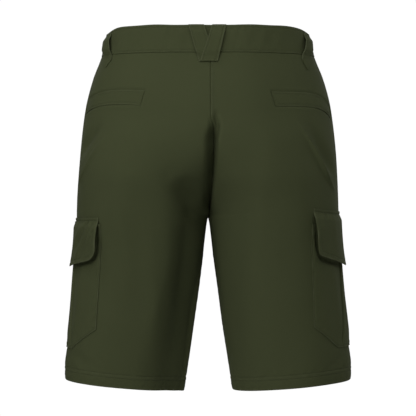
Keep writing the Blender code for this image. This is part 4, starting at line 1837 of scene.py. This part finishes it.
@dataclass
class StrapPiece(ClothPiece):
    """A narrow folded strap with a row of stitches along each edge."""

    wall: float = 1.35
    rounding: float = 0.45
    step: float = 1.5
    fine: float = 0.5
    crowd: float = 3.0
    rows: int = 46
    edge_row: float = 3.4
    arch: float = 2.2
    end_gap: float = 1.6  # what a row or a bar of stitches leaves free at its ends
    clearance: float = 0.15  # between the strap and what it lies on

    def width(self) -> float:
        """The strap's width."""
        raise NotImplementedError

    def long(self, a: Array) -> Array:
        """The strap's length at each place across."""
        raise NotImplementedError

    def grid(self) -> tuple[Array, Array]:
        """See ClothPiece."""
        half, row = self.width() / 2, self.edge_row
        across = self.stops(-half, half, (-half, half, half - row, row - half))
        a, share = np.meshgrid(across, np.linspace(0.0, 1.0, self.rows))
        return a, share * self.long(a)

    def cushion(self, a: Array, b: Array) -> Array:
        """The strap's own cross-section: flat, with a dent along each row of stitches.

        Args:
            a: Across the cut.
            b: Down the cut.

        Returns:
            Heights in millimetres.
        """
        edge = self.width() / 2 - np.abs(a)
        dent = 0.42 * bump(edge, self.edge_row, 0.8) - 0.16 * bump(edge, self.edge_row + 3, 3.0)
        return -dent + 0.14 * self.ripple.at(b) * bump(edge, 1.5, 2.5)

    def rub(self, a: Array, b: Array) -> Array:
        """See ClothPiece."""
        edge = self.width() / 2 - np.abs(a)
        return 0.75 * bump(edge, 0.0, 1.0) + 0.35 * bump(b, 0.5, 2.0)

    def seams(self) -> list[Array]:
        """See ClothPiece."""
        lines = []
        for side in (-1, 1):
            a = side * (self.width() / 2 - self.edge_row)
            end = float(self.long(np.array([a]))[0]) - self.end_gap
            lines.append(level_line(self.end_gap, end, a, self.stitch_step)[:, ::-1])
        return lines

    def tacks(self) -> list[Array]:
        """The short dense bars of stitches that hold the strap's ends."""
        half = self.width() / 2 - self.end_gap
        return [level_line(-half, half, level, 0.7) for level in self.tack_levels()]

    def tack_levels(self) -> tuple[float, ...]:
        """How far down the strap its bars of stitches lie."""
        raise NotImplementedError


@dataclass
class BeltLoop(StrapPiece):
    """A belt loop with a pointed lower end, from the waist edge to just below the band seam."""

    top_reach: float = 34.0
    bottom_reach: float = 53.0
    loop_width: float = 25.0
    top: float = 11.8
    corner: float = -28.0
    point: float = 9.0

    def width(self) -> float:
        """See StrapPiece."""
        return self.loop_width

    def straight(self) -> float:
        """The length down to where the point begins."""
        return self.top - self.corner

    def long(self, a: Array) -> Array:
        """See StrapPiece."""
        return self.straight() + self.point * (1 - np.abs(a) / (self.loop_width / 2))

    def spots(self, a: Array, b: Array) -> Places:
        """See ClothPiece."""
        straight = self.straight()
        middle = self.top_reach + b / straight * (self.bottom_reach - self.top_reach)
        over_band = Waistband.stand_off * (1 - smooth(b, straight - 9.0, straight - 5.0))
        rise = smooth(b, 2.5, 13.0) * (1 - smooth(b, straight - 15.0, straight - 5.0))
        out = over_band + self.clearance + self.wall + self.arch * rise + self.cushion(a, b)
        return self.top - b, middle + a, out

    def tack_levels(self) -> tuple[float, ...]:
        """See StrapPiece."""
        return (2.0, self.straight() - 3.2)


@dataclass
class CrossedStrip(StrapPiece):
    """One strip of the crossed back loop, by the x of its edges at the top and the bottom."""

    arch: float = 2.6
    top_edges: Span = (0.0, 0.0)
    bottom_edges: Span = (0.0, 0.0)
    over: bool = False
    top: float = 17.6
    bottom: float = -34.5

    def name(self) -> str:
        """See ClothPiece."""
        return "cloth_" + self.node.removesuffix("_strip")

    def width(self) -> float:
        """See StrapPiece."""
        (top_from, top_to), (bottom_from, bottom_to) = self.top_edges, self.bottom_edges
        return (top_to - top_from + bottom_to - bottom_from) / 2

    def long(self, a: Array) -> Array:
        """See StrapPiece."""
        return np.full(np.shape(a), self.top - self.bottom)

    def spots(self, a: Array, b: Array) -> Places:
        """See ClothPiece."""
        down = b / (self.top - self.bottom)
        start, end = (
            top + down * (bottom - top) for top, bottom in zip(self.top_edges, self.bottom_edges)
        )
        x = start + (a / self.width() + 0.5) * (end - start)
        height = self.top - b
        over_band = Waistband.stand_off * (1 - smooth(b, 36.0, 41.0))
        stack = (self.wall + 0.2) * smooth(down, 0.10, 0.36) if self.over else 0.0
        rise = smooth(b, 2.0, 12.0) * (1 - smooth(b, 38.0, 48.0))
        out = over_band + self.clearance + self.wall + stack + self.arch * rise + self.cushion(a, b)
        # the top end turns over the band's rounded edge
        out -= 1.1 * bump(b, 0.0, 1.3)
        return height, self.garment.form.limit(height, True) - x, out

    def tack_levels(self) -> tuple[float, ...]:
        """See StrapPiece."""
        return (3.6, self.top - self.bottom - 3.4) if self.over else (3.6,)


@dataclass
class FlyShield(ClothPiece):
    """The strip behind the fly opening, under both fronts."""

    slot: Slot = Slot.INSIDE
    columns: int = 23
    start: float = -8.0
    width: float = 40.0
    top: float = -22.5
    bottom: float = -155.0
    narrowing: float = 0.35
    lie: float = 1.5

    def grid(self) -> tuple[Array, Array]:
        """See ClothPiece."""
        long = self.top - self.bottom
        share, b = np.meshgrid(np.linspace(0.0, 1.0, self.columns), spread(0.0, long, 3.0))
        return share * self.width * (1 - self.narrowing * smooth(b / long, 0.7, 1.0)), b

    def spots(self, a: Array, b: Array) -> Places:
        """See ClothPiece."""
        height = self.top - b
        limit = self.garment.form.limit(height, False)
        return height, self.start + a - limit, np.full(np.shape(b), -self.lie)


# ---- stitches and button


def read_line(stop: float, along: Array, values: Array) -> Array:
    """Three numbers read off a line, at a stop in mm along rows whose distances are in metres."""
    return np.array([np.interp(stop * MM, along, values[:, axis]) for axis in range(3)])


def unit(vector: Array) -> Array:
    """A vector brought to length 1."""
    return vector / max(np.linalg.norm(vector), 1e-9)


@dataclass
class Stitching:
    """Rows of sewing thread, every stitch a small rounded float of thread."""

    thread: bpy.types.Material
    gauge: float = 0.50
    length: float = 2.55
    gap: float = 0.55
    sunk: float = 0.16
    sides: int = 6
    cuts: tuple[float, float] = (-0.3, 0.3)  # shares of its length where a stitch can bend
    run_half: float = 1.2  # half of what a stitch's direction is taken over
    unevenness: float = 0.06  # how far a stitch strays along its line

    def __post_init__(self) -> None:
        """Models one stitch, lying along X with its belly down."""
        deselect_all()
        bpy.ops.mesh.primitive_cylinder_add(
            vertices=self.sides, radius=self.gauge / 2, depth=self.length, end_fill_type="TRIFAN",
            rotation=(0.0, math.pi / 2, 0.0),
        )
        stitch = bpy.context.object
        bpy.ops.object.transform_apply(location=False, rotation=True, scale=False)
        bpy.ops.object.mode_set(mode="EDIT")
        for share in self.cuts:
            bpy.ops.mesh.select_all(action="SELECT")
            bpy.ops.mesh.bisect(plane_co=(share * self.length, 0, 0), plane_no=(1, 0, 0))
        bpy.ops.object.mode_set(mode="OBJECT")
        mesh = stitch.data
        points = np.array([vertex.co[:] for vertex in mesh.vertices])
        share = np.abs(points[:, 0]) / (self.length / 2)
        # the ends narrow and dive into the cloth
        thin = 1 - 0.45 * np.clip((share - 0.5) / 0.5, 0.0, 1.0)
        points[:, 1] *= thin
        points[:, 2] = points[:, 2] * thin - 0.42 * self.gauge * np.clip(share, 0, 1) ** 3
        mesh.calc_loop_triangles()
        self.points = points
        self.faces = np.array([triangle.vertices[:] for triangle in mesh.loop_triangles])
        bpy.data.objects.remove(stitch)

    def sew(
        self, name: str, piece: ClothPiece, lines: list[Array], pitch: float = 0.0, wobble: float = 0.10
    ) -> Thing:
        """Sews lines into a piece.

        Args:
            name: The name of the rows of thread.
            piece: The cloth that they lie on.
            lines: Lines of places on its flat cut.
            pitch: The distance from stitch to stitch, where it isn't the usual one.
            wobble: How far stitches stray from their line.

        Returns:
            The finished object.
        """
        draw = np.random.default_rng(sum(ord(letter) for letter in name))
        pitch = pitch or self.length + self.gap
        lift = (self.gauge / 2 - self.sunk) * MM
        points, faces, count = [], [], 0
        for line in lines:
            path = piece.surface(line[:, 0], line[:, 1])
            above = piece.surface(line[:, 0], line[:, 1], 1.0)
            up = (above - path) / np.linalg.norm(above - path, axis=1)[:, None]
            along = np.concatenate([[0.0], np.cumsum(np.linalg.norm(np.diff(path, axis=0), axis=1))])
            total = along[-1] / MM
            number = max(int(total / pitch), 1)
            size = min(1.0, (total / number - self.gap * 0.6) / self.length)
            for middle in (np.arange(number) + 0.5) * total / number:
                middle = middle + draw.normal() * self.unevenness
                start, end = (
                    read_line(middle + step, along, path) for step in (-self.run_half, self.run_half)
                )
                run = unit(end - start)
                side = unit(np.cross(read_line(middle, along, up), run))
                out = np.cross(run, side)
                shift = read_line(middle, along, path) + out * lift + side * draw.normal() * wobble * MM
                points.append(self.points @ np.stack([run * size, side, out]) * MM + shift)
                faces.append(self.faces + count)
                count += len(self.points)
        thing = mesh_object(name, np.concatenate(points), np.concatenate(faces))
        smooth_by_angle(thing, 70)
        thing.data.materials.append(self.thread)
        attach(thing, BODY)
        log.info("%s: %d stitches", name, count // len(self.points))
        return thing


@dataclass
class WaistButton:
    """The four-hole button with its raised rim and its thread."""

    garment: Garment
    finishes: Finishes
    radius: float = 8.5
    thickness: float = 3.0
    rim: float = 1.7
    rim_slope: float = 0.8
    dish: float = 0.8
    edge_round: float = 0.35
    holes: int = 4
    hole_radius: float = 1.05
    hole_spread: float = 2.4
    strands: tuple[float, float, float] = (-0.32, 0.0, 0.32)
    strand_radius: float = 0.24
    x: float = -8.0
    lie: float = 0.25

    def frame(self) -> Matrix:
        """The button's place: its back on the band, its face along the band's normal.

        Returns:
            The matrix that takes the button from the origin to its place.
        """
        height = np.array([(self.garment.waist_edge + self.garment.band_seam) / 2])
        reach = -(self.garment.form.limit(height, False) - self.x)
        seat = self.garment.place(LEFT, height, reach, np.array([Waistband.stand_off + self.lie]))[0]
        normal = Vector(self.garment.facing(LEFT, height, reach)[0])
        turn = normal.to_track_quat("Z", "Y").to_matrix().to_4x4()
        return Matrix.Translation(Vector(seat)) @ turn

    def build(self) -> None:
        """Makes the button and its thread."""
        place = self.frame()
        button = self._disc()
        cutters = [self._cutter(number) for number in range(self.holes)]
        for number, cutter in enumerate(cutters):
            cut = button.modifiers.new(f"Hole {number}", "BOOLEAN")
            cut.operation = "DIFFERENCE"
            cut.object = cutter
        round_edges(button, self.edge_round, 3, 35)
        apply_modifiers(button)
        for cutter in cutters:
            bpy.data.objects.remove(cutter)
        smooth_by_angle(button, 35)
        button.data.transform(place)
        button.data.materials.append(self.finishes.button)
        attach(button, BODY)
        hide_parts("waist_button")
        log.info("%s: %d faces", button.name, len(button.data.polygons))
        self._thread(place)

    def _disc(self) -> Thing:
        """The button's disc with its rim and its dished middle, on the origin.

        Returns:
            The disc, still without holes.
        """
        deselect_all()
        bpy.ops.mesh.primitive_cylinder_add(
            vertices=64, radius=self.radius * MM, depth=self.thickness * MM,
            location=(0, 0, self.thickness / 2 * MM),
        )
        button = bpy.context.object
        button.name = "polyester_button"
        bpy.ops.object.transform_apply(location=True, rotation=False, scale=False)
        make_active(button)
        bpy.ops.object.mode_set(mode="EDIT")
        bpy.ops.mesh.select_all(action="DESELECT")
        bpy.ops.mesh.select_mode(type="FACE")
        bpy.ops.object.mode_set(mode="OBJECT")
        for face in button.data.polygons:
            level = face.center.z - self.thickness * MM
            face.select = face.normal.z > 0.9 and abs(level) < 0.1 * MM
        bpy.ops.object.mode_set(mode="EDIT")
        bpy.ops.mesh.inset(thickness=self.rim * MM, depth=0.0)
        bpy.ops.mesh.inset(thickness=self.rim_slope * MM, depth=-self.dish * MM)
        bpy.ops.object.mode_set(mode="OBJECT")
        return button

    def _turn(self, number: int) -> float:
        """The angle at which a hole lies."""
        return math.tau * (number + 0.5) / self.holes

    def _cutter(self, number: int) -> Thing:
        """The round cutter of one hole.

        Args:
            number: Which hole.

        Returns:
            The cutter, where the hole goes.
        """
        turn, out = self._turn(number), self.hole_spread * MM
        deselect_all()
        bpy.ops.mesh.primitive_cylinder_add(
            vertices=20, radius=self.hole_radius * MM, depth=4 * self.thickness * MM,
            location=(out * math.cos(turn), out * math.sin(turn), 0),
        )
        return bpy.context.object

    def _strand(self, number: int, aside: float) -> Thing:
        """One strand of thread between two holes, diving into them at its ends.

        Args:
            number: Which pair of holes; the second bar lies over the first.
            aside: How far it lies from the middle of its bar.

        Returns:
            The strand, on the origin.
        """
        turn = self._turn(number)
        deselect_all()
        bpy.ops.mesh.primitive_cylinder_add(
            vertices=8, radius=self.strand_radius * MM, depth=2 * self.hole_spread * MM,
            rotation=(0, math.pi / 2, turn),
        )
        strand = bpy.context.object
        bpy.ops.object.transform_apply(location=False, rotation=True, scale=False)
        bpy.ops.object.mode_set(mode="EDIT")
        bpy.ops.mesh.select_all(action="SELECT")
        bpy.ops.mesh.subdivide(number_cuts=4)
        bpy.ops.object.mode_set(mode="OBJECT")
        shift = Vector((-math.sin(turn), math.cos(turn), 0)) * aside * MM
        level = self.thickness - self.dish + 0.2 + 0.3 * number
        for vertex in strand.data.vertices:
            out = vertex.co.to_2d().length / (self.hole_spread * MM)
            dive = -1.1 * max(out - 0.55, 0.0) ** 1.5 * 2.2
            vertex.co += shift + Vector((0, 0, (level + dive) * MM))
        return strand

    def _thread(self, place: Matrix) -> None:
        """Makes the two bars of thread that cross between the holes.

        Args:
            place: The button's place.
        """
        make_active(*[self._strand(number, aside) for number in (0, 1) for aside in self.strands])
        bpy.ops.object.join()
        thread = bpy.context.object
        thread.name = "button_thread"
        thread.data.transform(place)
        thread.data.materials.append(self.finishes.thread)
        smooth_by_angle(thread, 70)
        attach(thread, BODY)


# ---- the sub-assemblies


@dataclass
class SubAssembly:
    """Some pieces of the garment, sewn with the same thread."""

    garment: Garment
    finishes: Finishes
    stitching: Stitching

    def make(self, piece: ClothPiece) -> None:
        """Builds a piece and sews its stitched lines.

        Args:
            piece: The piece.
        """
        piece.build(self.finishes)
        lines = piece.seams()
        if lines:
            self.stitching.sew(f"thread_{piece.node}", piece, lines)


@dataclass
class Legs(SubAssembly):
    """The four panels, their hems and the fly shield."""

    front_step: float = 2.9  # between the stops of the front panels' meshes

    def build(self) -> None:
        """Makes the panels, the turn-ups, the fly shield and their stitches."""
        garment = self.garment
        for side in (LEFT, RIGHT):
            back, front = sided("back_panel", side), sided("front_panel", side)
            band = sided("waistband_front", side)
            step = self.front_step
            self.make(LegPanel(garment, back, side, "waistband_back", seed=35))
            self.make(LegPanel(garment, front, side, band, back=False, seed=31, step=step))
            self.make(HemTurnUp.of(garment, side))
        self.make(FlyShield(garment, "fly_shield", LEFT, "waistband_front_right"))


@dataclass
class Band(SubAssembly):
    """The waistband with its buttonhole and its button."""

    hole_pitch: float = 0.62  # between the stitches round the buttonhole
    hole_ends: Span = (-9.5, 13.5)  # how far it reaches from the button's middle
    hole_levels: Span = (0.5, 2.6)  # how far its stitches lie from its middle line
    front_columns: int = 181

    def build(self) -> None:
        """Makes the three stretches of the band, the button and their stitches."""
        self.make(Waistband(self.garment, "waistband_back", LEFT))
        lapped, under = (
            Waistband(
                self.garment, sided("waistband_front", side), side,
                columns=self.front_columns, front=True, seed=64,
            )
            for side in (LEFT, RIGHT)
        )
        self.make(lapped)
        self.make(under)
        button = WaistButton(self.garment, self.finishes)
        self._buttonhole(lapped, button)
        button.build()

    def _buttonhole(self, band: Waistband, button: WaistButton) -> None:
        """Sews the dense stitches round the buttonhole, which the button partly covers.

        Args:
            band: The front end that it is in.
            button: The button.
        """
        level = (self.garment.waist_edge - self.garment.band_seam) / 2
        middle = float(band.whole(np.array([level]))[0]) - band.lap - button.x
        start, end = self.hole_ends
        lines = []
        for stop in spread(middle + start, middle + end, self.hole_pitch):
            for side in (-1, 1):
                levels = np.array([level + side * gap for gap in self.hole_levels])
                lines.append(np.stack([np.full(2, stop), levels], axis=1))
        self.stitching.sew("thread_buttonhole", band, lines, wobble=0.03)


@dataclass
class BackPockets(SubAssembly):
    """The two welted back pockets."""

    def build(self) -> None:
        """Makes the welts and their stitches."""
        for side in (LEFT, RIGHT):
            self.make(BackWelt.of(self.garment, side, **WELT_HANG[side]))


@dataclass
class CargoPockets(SubAssembly):
    """The cargo pockets and their flaps."""

    def build(self) -> None:
        """Makes the pockets, the flaps and their stitches."""
        for spot in CARGO_PLACES:
            for kind in (CargoPocket, CargoFlap):
                self.make(kind.of(self.garment, spot.side, spot=spot))


@dataclass
class BeltLoops(SubAssembly):
    """The crossed loop at the back, the leaning side loops and the front loops."""

    front_x: float = 92.0
    side_arch: float = 3.7
    side_foot: tuple[float, float] = (55.0, 60.0)  # the foot's reach: left and right
    side_point: tuple[float, float] = (12.0, 16.0)  # the point's length: left and right
    tack_pitch: float = 0.85
    tack_wobble: float = 0.25

    def straps(self) -> list[StrapPiece]:
        """Every strap, the crossed loop's under strip first.

        Returns:
            The straps in the order in which they are made.
        """
        garment = self.garment
        back = "waistband_back"
        straps: list[StrapPiece] = [
            CrossedStrip(
                garment, "back_loop_under_strip", LEFT, back, seed=140,
                top_edges=(5.8, 28.6), bottom_edges=(-12.5, 13.0),
            ),
            CrossedStrip(
                garment, "back_loop_over_strip", LEFT, back, seed=141,
                top_edges=(-26.6, -6.2), bottom_edges=(-14.0, 11.5), over=True,
            ),
        ]
        front = self.front_x - float(garment.form.limit(garment.band_seam, False))
        for side, foot, point in zip((LEFT, RIGHT), self.side_foot, self.side_point):
            straps.append(
                BeltLoop(
                    garment, sided("side_loop", side), side, back, seed=145,
                    arch=self.side_arch, bottom_reach=foot, point=point,
                )
            )
            straps.append(
                BeltLoop(
                    garment, sided("front_loop", side), side, sided("waistband_front", side),
                    seed=148, top_reach=front, bottom_reach=front,
                )
            )
        return straps

    def build(self) -> None:
        """Makes the straps, their stitches and their bars of dense stitches."""
        for strap in self.straps():
            self.make(strap)
            name = f"bar_tack_{strap.node}"
            self.stitching.sew(
                name, strap, strap.tacks(), pitch=self.tack_pitch, wobble=self.tack_wobble
            )


# ---- floor, light and camera


@dataclass(frozen=True)
class Lamp:
    """A soft square lamp, aimed at the middle of the garment."""

    name: str
    azimuth: float  # degrees round from the camera towards the wearer's left
    elevation: float  # degrees up
    distance: float  # metres
    watts: float
    size: float = 0.9

    def build(self, aim: Vector) -> None:
        """Sets the lamp up.

        Args:
            aim: The point that it is aimed at.
        """
        lamp = bpy.data.lights.new(self.name, "AREA")
        lamp.energy = self.watts
        lamp.size = self.size
        holder = bpy.data.objects.new(self.name, lamp)
        azimuth, elevation = math.radians(self.azimuth), math.radians(self.elevation)
        level = math.cos(elevation)
        way = Vector((math.sin(azimuth) * level, math.cos(azimuth) * level, math.sin(elevation)))
        holder.location = aim + way * self.distance
        holder.rotation_euler = (-way).to_track_quat("-Z", "Y").to_euler()
        bpy.context.scene.collection.objects.link(holder)


LAMPS = (
    Lamp("key", 25, 25, 2.6, 19.5),
    Lamp("left side", 50, 0, 2.6, 13.0),
    Lamp("high left", 80, 55, 2.6, 14.5),
    Lamp("near top", -10, 42, 1.7, 9.6),
    Lamp("near top left", 30, 42, 1.7, 0.9),
    Lamp("right side", -112, 25, 2.6, 14.0),
    Lamp("right rim", -112, 0, 2.6, 7.0),
    Lamp("high right", -80, 55, 2.6, 2.9),
    Lamp("low right", -50, 0, 2.6, 2.2),
    Lamp("behind", 0, 25, 2.6, 2.1),
    Lamp("front left", 150, 30, 2.6, 18.0),
    Lamp("front right", -150, 20, 2.6, 12.0),
)


@dataclass
class Studio:
    """A plain pale floor, soft studio light and the camera."""

    camera_distance: float = 2.8
    camera_height: float = -0.246
    frame_width: float = 0.624
    sensor: float = 36.0
    floor_height: float = -1.25
    floor_radius: float = 2.9
    ambient: float = 0.012
    ambient_colour: Colour = (0.97, 0.99, 1.0, 1.0)
    seen_colour: Colour = (1.0, 1.0, 1.0, 1.0)
    seen_strength: float = 1.02

    def build(self) -> None:
        """Sets up the world, the lights, the floor and the camera."""
        self._world()
        self._floor()
        self._camera()
        for lamp in LAMPS:
            lamp.build(Vector((0.0, 0.0, self.camera_height)))

    def _world(self) -> None:
        """A pale surround: bright to look at, dimmer as a light."""
        world = bpy.data.worlds.new("studio_surround")
        bpy.context.scene.world = world
        bpy.context.scene.view_settings.view_transform = "Standard"
        world.use_nodes = True
        tree = world.node_tree
        seen = tree.nodes["Background"]
        seen.inputs["Color"].default_value = self.seen_colour
        seen.inputs["Strength"].default_value = self.seen_strength
        lit = tree.nodes.new("ShaderNodeBackground")
        lit.inputs["Color"].default_value = self.ambient_colour
        lit.inputs["Strength"].default_value = self.ambient
        path = tree.nodes.new("ShaderNodeLightPath")
        mix = tree.nodes.new("ShaderNodeMixShader")
        tree.links.new(path.outputs["Is Camera Ray"], mix.inputs[0])
        tree.links.new(lit.outputs[0], mix.inputs[1])
        tree.links.new(seen.outputs[0], mix.inputs[2])
        tree.links.new(mix.outputs[0], tree.nodes["World Output"].inputs["Surface"])

    def _floor(self) -> None:
        """A wide pale floor well below the hems."""
        deselect_all()
        bpy.ops.mesh.primitive_circle_add(
            vertices=96, radius=self.floor_radius, fill_type="NGON", location=(0, 0, self.floor_height)
        )
        floor = bpy.context.object
        floor.name = "studio_floor"
        bpy.ops.object.transform_apply(location=True, rotation=False, scale=False)
        shop = NodeShop("pale_floor")
        grain = shop.noise(shop.places(), 30.0, 2.0)
        tint = shop.mix_colour(grain, (0.86, 0.86, 0.85, 1.0), (0.82, 0.82, 0.81, 1.0))
        floor.data.materials.append(shop.finish({"Base Color": tint, "Roughness": 0.9}))

    def _camera(self) -> None:
        """The camera, level with the middle of the garment and square to its back."""
        data = bpy.data.cameras.new("camera")
        data.sensor_width = self.sensor
        data.lens = self.sensor * self.camera_distance / self.frame_width
        camera = bpy.data.objects.new("camera", data)
        camera.location = (0.0, self.camera_distance, self.camera_height)
        camera.rotation_euler = (math.pi / 2, 0.0, math.pi)
        bpy.context.scene.collection.objects.link(camera)
        bpy.context.scene.camera = camera


def main() -> None:
    """Builds the garment round the frame, then the studio."""
    logging.basicConfig(level=logging.INFO, format="%(message)s")
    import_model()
    garment, finishes = Garment(), Finishes()
    stitching = Stitching(finishes.thread)
    for part in (Legs, Band, BackPockets, CargoPockets, BeltLoops):
        part(garment, finishes, stitching).build()
    Studio().build()


if __name__ == "__main__":
    main()
